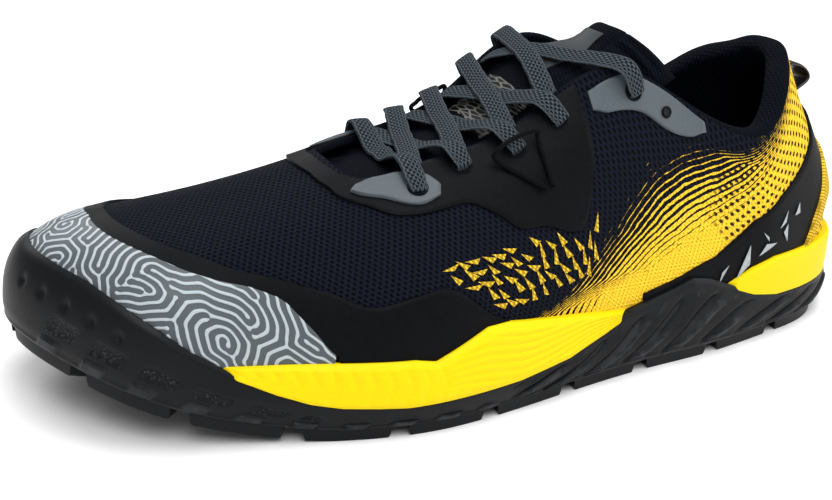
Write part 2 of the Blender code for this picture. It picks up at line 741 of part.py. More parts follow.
def build_midsole(last, layers):
    """Foam plate with the walls that show above the rubber."""
    mesh = bmesh.new()
    top, foot = last.outsole_top, last.foot[:, 2]
    behind = MIDSOLE_WALL + GAP
    high = np.maximum(last.midsole_top, top + 0.0012)
    middle = (top + GAP + high) / 2
    turn = np.minimum(foot, top - 0.35 * (top - layers.plate))
    hidden = [turn, (turn + top) / 2]
    back = np.full(last.ribs, behind)
    outer = [last.cover(height) - MIDSOLE_INSET for height in (top, middle, high)]
    hug = np.full(last.ribs, GAP)
    shown_heights = [*hidden, top + GAP, top + GAP, middle, high, high, (foot + high) / 2, foot]
    shown_covers = [back, back, back, *outer, hug, hug, hug]
    rises = (0.0003, 0.00035, 0.0004, 0.0006, 0.0006)
    wall_heights = [*hidden, *(top + rise for rise in rises), (foot + top) / 2, foot]
    wall_covers = [back, back, back, back - 0.0001, back - 0.0002, back - 0.0003, hug, hug, hug]
    first = layers.plate + GAP
    shares = np.arange(1, 10) / 9
    flat_heights = [first + (foot - first) * share for share in shares]
    flat_covers = [back * (1 - share) for share in shares]
    kinds = [layers.shown, layers.wall]
    rings = [last.side(first, back)]
    for heights, covers in zip(
        zip(shown_heights, wall_heights, flat_heights), zip(shown_covers, wall_covers, flat_covers)
    ):
        height = np.select(kinds, heights[:2], heights[2])
        cover = np.select(kinds, covers[:2], covers[2])
        rings.append(last.side(height, cover))
    made = [grow(mesh, ring) for ring in rings]
    for below, above in zip(made, made[1:]):
        band(mesh, below, above)
    ladder(mesh, made[0], False)
    ladder(mesh, made[-1], True)
    return add_object("midsole", mesh, MATERIALS["foam"])


def build_insole(last):
    """Flat insole that lies on the footbed inside the upper."""
    mesh = bmesh.new()
    inset = UPPER_WALL + INSOLE_CLEARANCE
    rings = []
    for rise in (GAP, GAP + INSOLE_THICKNESS):
        ring = last.at(last.run_at_height(last.foot[:, 2] + rise), -inset)
        ring[:, 2] = last.foot[:, 2] + rise
        rings.append(grow(mesh, ring))
    band(mesh, *rings)
    ladder(mesh, rings[0], False)
    ladder(mesh, rings[1], True)
    return add_object("insole", mesh, MATERIALS["lining"])


def table(pairs, at):
    """Value of a table of pairs at the places in at."""
    columns = np.array(pairs)
    return np.interp(at, columns[:, 0], columns[:, 1])


def places_between(first, final, ribs):
    """Both ends of a stretch and every rib between them, as rib numbers."""
    inner = np.arange(math.floor(first * ribs) + 1, math.ceil(final * ribs))
    inner = inner[(inner - first * ribs > 0.25) & (final * ribs - inner > 0.25)]
    return np.concatenate([[first * ribs], inner, [final * ribs]])


def build_overlay(last, name, places, low, high, steps, surface, stacked=0):
    """Thin shell that follows the upper between two lines across the ribs."""
    mesh = bmesh.new()
    base = OVERLAY_CLEARANCE + stacked * (OVERLAY_THICKNESS + GAP)
    sheets = []
    for offset in (base, base + OVERLAY_THICKNESS):
        rows = []
        for step in range(steps + 1):
            run = low + (high - low) * step / steps
            rows.append(grow(mesh, last.between(places, run, offset)))
        sheets.append(rows)
    inner, outer = sheets
    columns = len(places)
    for sheet in sheets:
        for k in range(steps):
            for i in range(columns - 1):
                mesh.faces.new((sheet[k][i], sheet[k][i + 1], sheet[k + 1][i + 1], sheet[k + 1][i]))
    for row in (0, steps):
        for i in range(columns - 1):
            mesh.faces.new((inner[row][i], outer[row][i], outer[row][i + 1], inner[row][i + 1]))
    for i in (0, columns - 1):
        for k in range(steps):
            mesh.faces.new((inner[k][i], inner[k + 1][i], outer[k + 1][i], outer[k][i]))
    return add_object(name, mesh, MATERIALS[surface], 35)


def sole_line(last, places):
    """Run at which the upper leaves the top of the sole's side, at fractional places."""
    runs = last.run_at_height(last.side_top) + SOLE_LINE_STEP
    return np.interp(np.mod(places, last.ribs), np.arange(last.ribs + 1), np.append(runs, runs[0]))


def build_overlays(last):
    """Toe cap, film behind it, eyestay, its four patches and the heel counter."""
    ribs = last.ribs
    cap = places_between(-0.150, 0.150, ribs)
    rear = table(TOE_CAP_REAR, np.abs(cap) / ribs)
    build_overlay(last, "toe_cap", cap, sole_line(last, cap), rear, 3, "grey_film")
    film = places_between(-0.230, 0.230, ribs)
    share = np.abs(film) / ribs
    line = sole_line(last, film)
    start = np.where(share < 0.1535, np.maximum(table(TOE_CAP_REAR, share) + 0.010, line), line)
    build_overlay(last, "forefoot_film", film, start, table(FILM_REAR, share), 2, "black_film")
    stay = places_between(-0.290, 0.290, ribs)
    low = table(EYESTAY_LOW, np.abs(stay) / ribs)
    build_overlay(last, "eyestay", stay, low, EYESTAY_HIGH + 0 * low, 3, "black_film")
    for side, way in (("outer", 1), ("inner", -1)):
        front = places_between(0.126, 0.196, ribs)
        low, high = table(FRONT_PATCH_LOW, front / ribs), table(FRONT_PATCH_HIGH, front / ribs)
        build_overlay(last, f"front_patch_{side}", front * way, low, high, 2, "grey_film", 1)
        top = places_between(0.2955, 0.362, ribs)
        low, high = table(TOP_PATCH_LOW, top / ribs), table(TOP_PATCH_HIGH, top / ribs)
        build_overlay(last, f"top_patch_{side}", top * way, low, high, 2, "grey_film")
    heel = places_between(0.325, 0.675, ribs)
    share = 0.5 - np.abs(heel / ribs - 0.5)
    low = np.maximum(table(COUNTER_LOW, share), sole_line(last, heel))
    high = np.maximum(table(COUNTER_HIGH, share), low + 0.05)
    build_overlay(last, "heel_counter", heel, low, high, 3, "black_film")


class Tongue:
    """Padded tongue that lies under the throat and stands up in front of the ankle."""

    def __init__(self, last):
        self.last = last
        self.rows = [self.throat_row(share) for share in TONGUE_ROWS]
        self.rows += [self.free_row(*row) for row in TONGUE_FREE_ROWS]
        self.outer = np.array(self.rows)
        along = np.gradient(self.outer, axis=0)
        across = np.gradient(self.outer, axis=1)
        self.normals = unit(np.cross(across, along))
        if self.normals[2, TONGUE_ACROSS // 2, 2] < 0:
            self.normals = -self.normals

    def throat_row(self, share):
        """Arc from the inside of one eyestay to the other under the throat."""
        last, ends = self.last, []
        for place in (share * last.ribs, -share * last.ribs):
            pad = np.interp(np.mod(place, last.ribs), np.arange(last.ribs), last.pad)
            depth = UPPER_WALL + pad + TONGUE_CLEARANCE
            here = last.between(place, TONGUE_RUN, -depth)[0]
            ahead = last.between(place, TONGUE_RUN + 0.04, -depth)[0]
            ends.append((here, unit(ahead - here)))
        (start, out), (stop, back) = ends
        reach = np.linalg.norm(stop - start) * TONGUE_FULLNESS
        t = np.linspace(0, 1, TONGUE_ACROSS + 1)[:, None]
        arc = (2 * t**3 - 3 * t**2 + 1) * start + (t**3 - 2 * t**2 + t) * reach * out
        return arc + (3 * t**2 - 2 * t**3) * stop - (t**3 - t**2) * reach * back

    def free_row(self, end, centre):
        """Row of the part that stands free, as an arch between two ends."""
        size = np.array((LENGTH, BALL_WIDTH, INSTEP_HEIGHT))
        end, centre = np.array(end) * size, np.array(centre) * size
        t = np.linspace(1, -1, TONGUE_ACROSS + 1)
        back, down = np.abs(t) ** 2.0, np.abs(t) ** 2.7
        x = centre[0] + (end[0] - centre[0]) * back
        y = centre[1] * (1 - t**2) + end[1] * t
        return np.column_stack([x, y, centre[2] + (end[2] - centre[2]) * down])

    def point(self, share, t):
        """Point and normal at a share of the way round and a share of the way across."""
        row = np.interp(share, TONGUE_ROWS, np.arange(len(TONGUE_ROWS)))
        column = t * TONGUE_ACROSS
        i, j = int(min(row, len(TONGUE_ROWS) - 2)), int(min(column, TONGUE_ACROSS - 1))
        a, b = row - i, column - j
        found = []
        for grid in (self.outer, self.normals):
            near = grid[i, j] * (1 - b) + grid[i, j + 1] * b
            far = grid[i + 1, j] * (1 - b) + grid[i + 1, j + 1] * b
            found.append(near * (1 - a) + far * a)
        return found[0], unit(found[1])

    def build(self):
        """Makes the tongue as one closed pad."""
        mesh = bmesh.new()
        inner = self.outer - self.normals * TONGUE_THICKNESS
        sheets = [[grow(mesh, row) for row in grid] for grid in (self.outer, inner)]
        last_row, last_column = len(self.rows) - 1, TONGUE_ACROSS
        for sheet in sheets:
            for k in range(last_row):
                for i in range(last_column):
                    quad = (sheet[k][i], sheet[k][i + 1], sheet[k + 1][i + 1], sheet[k + 1][i])
                    mesh.faces.new(quad)
        top, under = sheets
        for k in (0, last_row):
            for i in range(last_column):
                mesh.faces.new((top[k][i], under[k][i], under[k][i + 1], top[k][i + 1]))
        for i in (0, last_column):
            for k in range(last_row):
                mesh.faces.new((top[k][i], top[k + 1][i], under[k + 1][i], under[k][i]))
        return add_object("tongue", mesh, MATERIALS["lining"], 50)


def smooth_path(points, steps):
    """Curve through the points, with a number of steps between each two."""
    padded = np.vstack([2 * points[0] - points[1], points, 2 * points[-1] - points[-2]])
    path = []
    for k in range(1, len(padded) - 2):
        a, b, c, d = padded[k - 1 : k + 3]
        for step in range(steps):
            t = step / steps
            curve = 2 * b + (c - a) * t + (2 * a - 5 * b + 4 * c - d) * t**2
            path.append((curve + (3 * b - a - 3 * c + d) * t**3) / 2)
    return np.array([*path, padded[-2]])


def band_solid(name, path, normals, width, thickness):
    """Flat band along a path, as a helper solid."""
    mesh = bmesh.new()
    along = unit(np.gradient(path, axis=0))
    across = unit(np.cross(along, normals)) * width / 2
    up = unit(np.cross(across, along)) * thickness / 2
    corners = (across + up, up - across, -across - up, across - up)
    rings = [grow(mesh, [path[i] + corner[i] for corner in corners]) for i in range(len(path))]
    for here, there in zip(rings, rings[1:]):
        band(mesh, here, there)
    mesh.faces.new(rings[0])
    mesh.faces.new(rings[-1])
    return solid(name, mesh)


class Lacing:
    """Bands of the lace over the tongue, from eyelet to eyelet."""

    def __init__(self, last, tongue):
        self.last = last
        self.tongue = tongue
        self.over_stay = OVERLAY_CLEARANCE + 2 * OVERLAY_THICKNESS + GAP + LACE_CLEARANCE
        self.over_stay += LACE_THICKNESS / 2

    def on_upper(self, share, run, way, offset):
        """Point and normal over the upper at an eyelet or at the throat's edge."""
        place = share * self.last.ribs * way
        here = self.last.between(place, run, offset)[0]
        return here, unit(here - self.last.between(place, run, offset - 0.001)[0])

    def on_tongue(self, share, t, lift):
        """Point and normal over the tongue, higher beside the throat's edges."""
        here, normal = self.tongue.point(share, t)
        low = LACE_CLEARANCE + LACE_THICKNESS / 2 + lift
        return here + normal * (low + 0.0032 * (2 * t - 1) ** 2), normal

    def over_rim(self, share, way):
        """Point and normal just above the rim of the throat."""
        place = share * self.last.ribs * way
        edge, normal = self.on_upper(share, 1.0, way, 0.0)
        along = unit(edge - self.last.between(place, 0.97, 0.0)[0])
        pad = np.interp(np.mod(place, self.last.ribs), np.arange(self.last.ribs), self.last.pad)
        wall = UPPER_WALL + pad
        rise = wall * RIM_ROUND + LACE_CLEARANCE + LACE_THICKNESS / 2 + LACE_RISE
        return edge + normal * rise + along * wall * RIM_ROUND, unit(normal + along * 0.4)

    def share_on_way(self, shares, points, start, stop):
        """Share at which a row of points meets a band's straight way, seen from above."""
        side = np.cross((stop - start)[:2], (np.array(points) - start)[:, :2])
        order = np.argsort(side)
        return np.interp(0.0, side[order], np.array(shares)[order])

    def on_way(self, start, stop, way, run):
        """Share at which a line along the upper meets a band's straight way."""
        shares = np.linspace(0.02, 0.36, 35)
        points = self.last.between(shares * self.last.ribs * way, run, 0.0)
        return self.share_on_way(shares, points, start, stop)

    def on_way_over_tongue(self, start, stop, t, lift):
        """Point and normal of a band's straight way at a share across the tongue."""
        points = self.tongue.outer[: len(TONGUE_ROWS)]
        column = t * TONGUE_ACROSS
        i = int(min(column, TONGUE_ACROSS - 1))
        points = points[:, i] * (1 - column + i) + points[:, i + 1] * (column - i)
        return self.on_tongue(self.share_on_way(TONGUE_ROWS, points, start, stop), t, lift)

    def strand(self, start, stop, start_way, from_under, lift):
        """Path of one band between an eyelet of each side."""
        first = self.on_upper(*start, start_way, self.over_stay)
        final = self.on_upper(*stop, -start_way, self.over_stay)
        line = (first[0], final[0])
        halves = []
        for eyelet, way, t in ((first, start_way, 0.40), (final, -start_way, 0.60)):
            halves.append([
                eyelet,
                self.over_rim(self.on_way(*line, way, 1.0), way),
                self.on_way_over_tongue(*line, self.across(t, start_way), lift),
            ])
        if from_under:
            here = self.across(LACE_START, start_way)
            halves[0] = [self.on_way_over_tongue(*line, here, LACE_START_LIFT), halves[0][-1]]
        middle = self.on_way_over_tongue(*line, 0.5, lift)
        return [np.array(column) for column in zip(*halves[0], middle, *halves[1][::-1])]

    def across(self, t, way):
        """Share across the tongue, counted from the side that a band starts on."""
        return t if way == 1 else 1 - t

    def build(self):
        """Unites the bar and the crossings into one lace."""
        bands = [(OUTER_EYELETS[0], INNER_EYELETS[0], 1, False, 0.0)]
        for k in range(4):
            lift = k * LACE_STEP
            bands.append((INNER_EYELETS[k], OUTER_EYELETS[k + 1], -1, True, lift))
            bands.append((OUTER_EYELETS[k], INNER_EYELETS[k + 1], 1, True, lift + LACE_OVER))
        solids = []
        for number, spec in enumerate(bands):
            points, normals = self.strand(*spec)
            path, facing = smooth_path(points, 2), unit(smooth_path(normals, 2))
            solids.append(band_solid(f"lace_{number}", path, facing, LACE_WIDTH, LACE_THICKNESS))
        body = solids[0]
        body.name = "lace"
        body.data.materials.append(MATERIALS["lace"])
        PARTS.objects.link(body)
        join_solids(body, solids[1:])
        return body

    def build_cord_loops(self):
        """Cord loops that rise from the eyestay and pass over the lace's third row."""
        for name, way, eyelet in (("outer", 1, OUTER_EYELETS[2]), ("inner", -1, INNER_EYELETS[2])):
            hole = (CORD_HOLE[0] + eyelet[0] - OUTER_EYELETS[2][0], CORD_HOLE[1])
            rest = self.over_stay - LACE_THICKNESS / 2 - LACE_CLEARANCE + GAP + CORD_RADIUS
            over = self.over_stay + LACE_THICKNESS / 2 + GAP + CORD_RADIUS
            legs = []
            for side in (-1, 1):
                foot = self.on_upper(hole[0] + side * 0.0018, hole[1], way, rest)[0]
                knee = self.on_upper(eyelet[0] + side * CORD_SPREAD, eyelet[1] - 0.03, way, rest)[0]
                legs.append((foot, knee))
            high = [
                self.on_upper(eyelet[0] + side * CORD_SPREAD * 0.9, eyelet[1], way, over + 0.0016)[0]
                for side in (-1, 1)
            ]
            crown = self.on_upper(eyelet[0], eyelet[1] + 0.012, way, over + 0.0032)[0]
            points = [*legs[0], high[0], crown, high[1], *legs[1][::-1]]
            tube(f"cord_loop_{name}", smooth_path(np.array(points), 2), CORD_RADIUS)


def tube(name, path, radius, sides=5):
    """Round cord along a path."""
    mesh = bmesh.new()
    along = unit(np.gradient(path, axis=0))
    side = unit(np.cross(along[0], (0.3, 0.5, 0.8)))
    rings = []
    for point, way in zip(path, along):
        side = unit(side - way * np.dot(side, way))
        up = np.cross(way, side)
        turns = [2 * math.pi * k / sides for k in range(sides)]
        ring = [point + radius * (side * math.cos(a) + up * math.sin(a)) for a in turns]
        rings.append(grow(mesh, ring))
    for here, there in zip(rings, rings[1:]):
        band(mesh, here, there)
    mesh.faces.new(rings[0])
    mesh.faces.new(rings[-1])
    return add_object(name, mesh, MATERIALS["lace"], 60)


def build_pull_loop(last):
    """Webbing loop on the back of the heel, open for a finger."""
    mesh = bmesh.new()
    heel = last.ribs / 2
    high, low = (last.between(heel, run, 0.0006)[0] for run in PULL_LOOP_RUNS)
    down = unit(low - high)
    out = unit(np.array((down[2], 0.0, -down[0])))
    out = out if out[0] < 0 else -out
    span = np.linalg.norm(low - high)
    shape = ((0.0, 0.0), (0.02, 0.55), (0.22, 0.95), (0.55, 1.0), (0.85, 0.62), (1.0, 0.0))
    outline = np.array([high + down * span * a + out * PULL_LOOP_REACH * b for a, b in shape])
    centre = outline.mean(axis=0)
    inner = []
    for point in outline:
        away = point - centre
        inner.append(point - away * PULL_LOOP_THICKNESS / np.linalg.norm(away) * 1.25)
    side = np.array((0.0, PULL_LOOP_WIDTH / 2, 0.0))
    rings = [grow(mesh, [point + y for point in ring]) for ring, y in (
        (outline, side), (outline, -side), (np.array(inner), -side), (np.array(inner), side))]
    for here, there in zip(rings, rings[1:] + rings[:1]):
        band(mesh, here, there)
    return add_object("pull_loop", mesh, MATERIALS["webbing"], 60)


def centre_on_origin():
    """Moves every mesh so that the box is centred on X and Y and stands on Z 0."""
    bpy.context.view_layer.update()
    graph = bpy.context.evaluated_depsgraph_get()
    corners = []
    for part in PARTS.objects:
        seen = part.evaluated_get(graph)
        places = np.array([vertex.co for vertex in seen.to_mesh().vertices])
        corners += [places.min(axis=0), places.max(axis=0)]
        seen.to_mesh_clear()
    low, high = np.min(corners, axis=0), np.max(corners, axis=0)
    shift = (-(low[0] + high[0]) / 2, -(low[1] + high[1]) / 2, -low[2])
    for thing in [*PARTS.objects, *CUTTERS.objects]:
        thing.data.transform(Matrix.Translation(shift))
        thing.data.update()


for old in list(bpy.data.objects):
    bpy.data.objects.remove(old, do_unlink=True)
PARTS = bpy.data.collections.new("trail_running_shoe")
CUTTERS = bpy.data.collections.new("cutters")
bpy.context.scene.collection.children.link(PARTS)
bpy.context.scene.collection.children.link(CUTTERS)
MATERIALS = {
    "mesh": material("knit_mesh", (0.012, 0.016, 0.03), 0.85),
    "rubber": material("black_rubber", (0.02, 0.021, 0.022), 0.75),
    "foam": material("yellow_foam", (1.0, 0.82, 0.0), 0.55),
    "lining": material("dark_lining", (0.008, 0.012, 0.022), 0.9),
    "grey_film": material("grey_film", (0.12, 0.14, 0.155), 0.45),
    "black_film": material("black_film", (0.015, 0.016, 0.018), 0.5),
    "lace": material("grey_lace", (0.07, 0.09, 0.105), 0.85),
    "webbing": material("black_webbing", (0.01, 0.01, 0.012), 0.4),
}
LAST = Last(RIBS)
LAYERS = SoleLayers(LAST)
build_upper(LAST)
build_outsole(LAST, LAYERS)
build_midsole(LAST, LAYERS)
build_insole(LAST)
build_overlays(LAST)
TONGUE = Tongue(LAST)
TONGUE.build()
LACING = Lacing(LAST, TONGUE)
LACING.build()
LACING.build_cord_loops()
build_pull_loop(LAST)
centre_on_origin()
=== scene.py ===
"""Looks of a low trail running shoe for the left foot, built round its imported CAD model.

The lofts of the CAD are made again on a finer grid, so every piece lies where its node is.
Units are metres. +X runs to the toe, +Y to the outer side of the foot and +Z up.
"""

from __future__ import annotations

import itertools
import json
import logging
import math
from collections.abc import Callable, Sequence
from dataclasses import dataclass
from enum import Enum
from typing import ClassVar

import bmesh
import bpy
import numpy as np
from mathutils import Matrix, Vector
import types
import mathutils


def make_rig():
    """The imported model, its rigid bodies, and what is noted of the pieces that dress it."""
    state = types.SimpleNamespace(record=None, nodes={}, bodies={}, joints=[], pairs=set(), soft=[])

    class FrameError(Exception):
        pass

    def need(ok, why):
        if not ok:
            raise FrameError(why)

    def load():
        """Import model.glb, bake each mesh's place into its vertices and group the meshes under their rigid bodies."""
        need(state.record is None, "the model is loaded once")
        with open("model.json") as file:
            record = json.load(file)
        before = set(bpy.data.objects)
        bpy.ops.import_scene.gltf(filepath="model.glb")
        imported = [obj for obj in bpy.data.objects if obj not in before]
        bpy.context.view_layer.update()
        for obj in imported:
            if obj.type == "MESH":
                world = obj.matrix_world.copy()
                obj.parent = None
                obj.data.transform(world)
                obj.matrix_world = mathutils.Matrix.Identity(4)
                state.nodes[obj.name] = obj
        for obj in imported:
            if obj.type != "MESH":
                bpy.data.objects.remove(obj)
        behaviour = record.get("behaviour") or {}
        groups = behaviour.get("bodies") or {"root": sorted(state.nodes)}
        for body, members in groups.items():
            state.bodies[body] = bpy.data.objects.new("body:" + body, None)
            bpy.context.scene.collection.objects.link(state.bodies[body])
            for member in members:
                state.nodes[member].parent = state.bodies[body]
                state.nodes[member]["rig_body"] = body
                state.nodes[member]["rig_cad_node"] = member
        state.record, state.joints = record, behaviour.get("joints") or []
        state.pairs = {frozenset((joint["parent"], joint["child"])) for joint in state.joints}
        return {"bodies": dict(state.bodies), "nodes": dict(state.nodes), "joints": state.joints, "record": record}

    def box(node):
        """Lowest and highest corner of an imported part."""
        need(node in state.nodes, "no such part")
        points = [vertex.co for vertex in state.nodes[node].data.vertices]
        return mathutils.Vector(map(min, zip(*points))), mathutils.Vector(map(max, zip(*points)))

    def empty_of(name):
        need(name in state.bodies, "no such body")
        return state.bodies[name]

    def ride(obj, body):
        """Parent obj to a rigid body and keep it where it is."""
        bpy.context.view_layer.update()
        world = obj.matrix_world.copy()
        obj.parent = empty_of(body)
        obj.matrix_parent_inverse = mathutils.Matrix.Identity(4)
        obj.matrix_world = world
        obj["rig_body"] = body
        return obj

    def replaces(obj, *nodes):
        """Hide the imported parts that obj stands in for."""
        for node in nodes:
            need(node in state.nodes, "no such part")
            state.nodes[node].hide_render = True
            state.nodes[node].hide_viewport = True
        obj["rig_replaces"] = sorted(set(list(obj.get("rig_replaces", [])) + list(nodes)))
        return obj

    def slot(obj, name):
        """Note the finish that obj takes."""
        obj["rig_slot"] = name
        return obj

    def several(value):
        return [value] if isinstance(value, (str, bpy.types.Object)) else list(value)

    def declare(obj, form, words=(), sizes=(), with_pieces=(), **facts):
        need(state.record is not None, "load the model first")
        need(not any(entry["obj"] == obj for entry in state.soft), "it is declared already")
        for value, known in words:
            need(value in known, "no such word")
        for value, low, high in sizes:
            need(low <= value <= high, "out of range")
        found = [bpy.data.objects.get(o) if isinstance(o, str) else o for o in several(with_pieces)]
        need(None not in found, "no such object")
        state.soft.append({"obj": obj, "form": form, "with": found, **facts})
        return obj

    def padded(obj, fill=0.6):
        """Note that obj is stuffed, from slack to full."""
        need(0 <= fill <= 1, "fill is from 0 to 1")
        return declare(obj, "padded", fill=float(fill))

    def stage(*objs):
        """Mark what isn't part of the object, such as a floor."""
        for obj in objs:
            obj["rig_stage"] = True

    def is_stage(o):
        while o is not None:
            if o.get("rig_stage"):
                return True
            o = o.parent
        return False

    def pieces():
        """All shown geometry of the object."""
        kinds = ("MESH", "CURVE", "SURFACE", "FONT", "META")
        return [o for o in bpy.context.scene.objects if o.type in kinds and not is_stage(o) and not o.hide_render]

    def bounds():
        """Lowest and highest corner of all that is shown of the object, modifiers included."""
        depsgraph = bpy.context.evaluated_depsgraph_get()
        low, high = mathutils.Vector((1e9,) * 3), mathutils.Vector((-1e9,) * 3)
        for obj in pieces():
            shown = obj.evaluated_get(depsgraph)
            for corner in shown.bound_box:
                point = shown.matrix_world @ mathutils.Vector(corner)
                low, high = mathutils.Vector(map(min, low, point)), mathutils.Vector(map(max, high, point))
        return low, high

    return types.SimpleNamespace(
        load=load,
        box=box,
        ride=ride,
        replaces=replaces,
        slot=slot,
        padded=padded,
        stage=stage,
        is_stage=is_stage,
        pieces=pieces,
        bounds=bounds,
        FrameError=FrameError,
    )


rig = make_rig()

LOG = logging.getLogger("shoe")
SIZE_FILE = "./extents.json"
Array = np.ndarray
Socket = bpy.types.NodeSocket
Material = bpy.types.Material
Tree = bpy.types.NodeTree
Surfaces = dict[str, Material]
Pair = tuple[float, float]
Pairs = Sequence[Pair]
Ray = tuple[Array, Array]
Line = Callable[[Array], Array]
SIDES = (("outer", 1), ("inner", -1))

# Driving sizes of the shoe
LENGTH = 0.29
BALL_WIDTH = 0.109
INSTEP_HEIGHT = 0.1
SIDE_HEIGHT = 0.04
FOOTBED_HEIGHT = 0.012

# Rocker of the sole
TOE_SPRING = 0.02
TOE_BREAK = 0.07
TOE_CURVE = 1.5
HEEL_LIFT = 0.003
HEEL_BREAK = -0.118
FOOTBED_LIFT_SHARE = 0.86

# Walls and clearances
GAP = 0.0003
UPPER_WALL = 0.0022
COLLAR_PADDING = 0.0062
SIDE_THICKNESS = 0.004
SIDE_LIP = 0.0028
MIDSOLE_WALL = 0.0008
OUTSOLE_PLATE = 0.003
LUG_HEIGHT = 0.0036
GROUND_INSET = 0.0034
MIDSOLE_INSET = 0.00015
INSOLE_CLEARANCE = 0.0005

# Run of a rib at which the collar's padding starts, and how far the rim rounds up
PAD_START = 0.62
RIM_ROUND = 0.3

# Lugs round the rim: their number, depth inwards and slant in ribs
EDGE_LUGS = 22
EDGE_LUG_DEPTH = 0.0125
EDGE_LUG_SLANT = 0.5

# Chevrons down the middle. x and long: LENGTH. y and half: BALL_WIDTH. way: 1 points at the
# toe, -1 at the heel.
CENTRE_LUGS = (
    (0.385, 0.02, 0.1, 0.03, 1), (0.3, -0.17, 0.095, 0.03, 1), (0.3, 0.13, 0.095, 0.03, 1),
    (0.205, -0.19, 0.105, 0.032, 1), (0.205, 0.16, 0.105, 0.032, 1), (0.105, -0.14, 0.1, 0.032, 1),
    (0.105, 0.18, 0.1, 0.032, 1), (0.005, 0.03, 0.12, 0.032, 1), (-0.095, 0.03, 0.115, 0.032, 1),
    (-0.225, 0.02, 0.1, 0.03, -1), (-0.3, 0.01, 0.1, 0.03, -1), (-0.375, 0.0, 0.095, 0.03, -1),
)

# Overlays on the upper, as pairs of a share of the way round from the toe tip and a share of
# the rib's run. The sole line stands for the top of the sole's side.
OVERLAY_THICKNESS = 0.0008
OVERLAY_CLEARANCE = 0.0006
SOLE_LINE_STEP = 0.018
TOE_CAP_REAR = (
    (0.0, 0.575), (0.03, 0.552), (0.058, 0.542), (0.083, 0.521), (0.109, 0.5), (0.126, 0.448),
    (0.134, 0.375), (0.144, 0.292), (0.152, 0.19),
)
FILM_REAR = (
    (0.0, 0.61), (0.05, 0.592), (0.078, 0.583), (0.118, 0.535), (0.147, 0.458), (0.16, 0.396),
    (0.168, 0.378), (0.182, 0.396), (0.201, 0.417), (0.211, 0.375), (0.222, 0.302), (0.232, 0.24),
)
EYESTAY_LOW = (
    (0.0, 0.948), (0.049, 0.948), (0.099, 0.927), (0.13, 0.875), (0.148, 0.83), (0.17, 0.74),
    (0.186, 0.715), (0.214, 0.725), (0.231, 0.635), (0.242, 0.545), (0.257, 0.525), (0.274, 0.44),
    (0.284, 0.445), (0.291, 0.76),
)
EYESTAY_HIGH = 0.985
FRONT_PATCH_LOW = ((0.126, 0.915), (0.158, 0.844), (0.177, 0.771), (0.188, 0.75), (0.196, 0.785))
FRONT_PATCH_HIGH = ((0.126, 0.935), (0.138, 0.97), (0.164, 0.963), (0.19, 0.89), (0.196, 0.81))
TOP_PATCH_LOW = (
    (0.2955, 0.86), (0.3, 0.812), (0.3256, 0.82), (0.3356, 0.781), (0.3475, 0.802), (0.3575, 0.865),
    (0.362, 0.93),
)
TOP_PATCH_HIGH = ((0.2955, 0.925), (0.307, 0.95), (0.323, 0.985), (0.345, 0.985), (0.362, 0.965))
COUNTER_LOW = (
    (0.32, 0.0), (0.38, 0.146), (0.3925, 0.208), (0.412, 0.229), (0.429, 0.22), (0.441, 0.281),
    (0.457, 0.365), (0.5, 0.42),
)
COUNTER_HIGH = (
    (0.32, 0.15), (0.339, 0.19), (0.364, 0.302), (0.391, 0.521), (0.416, 0.61), (0.442, 0.635),
    (0.459, 0.667), (0.475, 0.745), (0.5, 0.78),
)

# Eyelets, as a share of the way round and a share of the rib's run
OUTER_EYELETS = ((0.181, 0.835), (0.2106, 0.9), (0.246, 0.88), (0.275, 0.885), (0.321, 0.905))
INNER_EYELETS = ((0.176, 0.88), (0.208, 0.9), (0.238, 0.9), (0.268, 0.9), (0.296, 0.905))

# Fineness of the loft
RIBS = 80
FINE_STEPS = 96
NORMAL_BLEND = 0.12

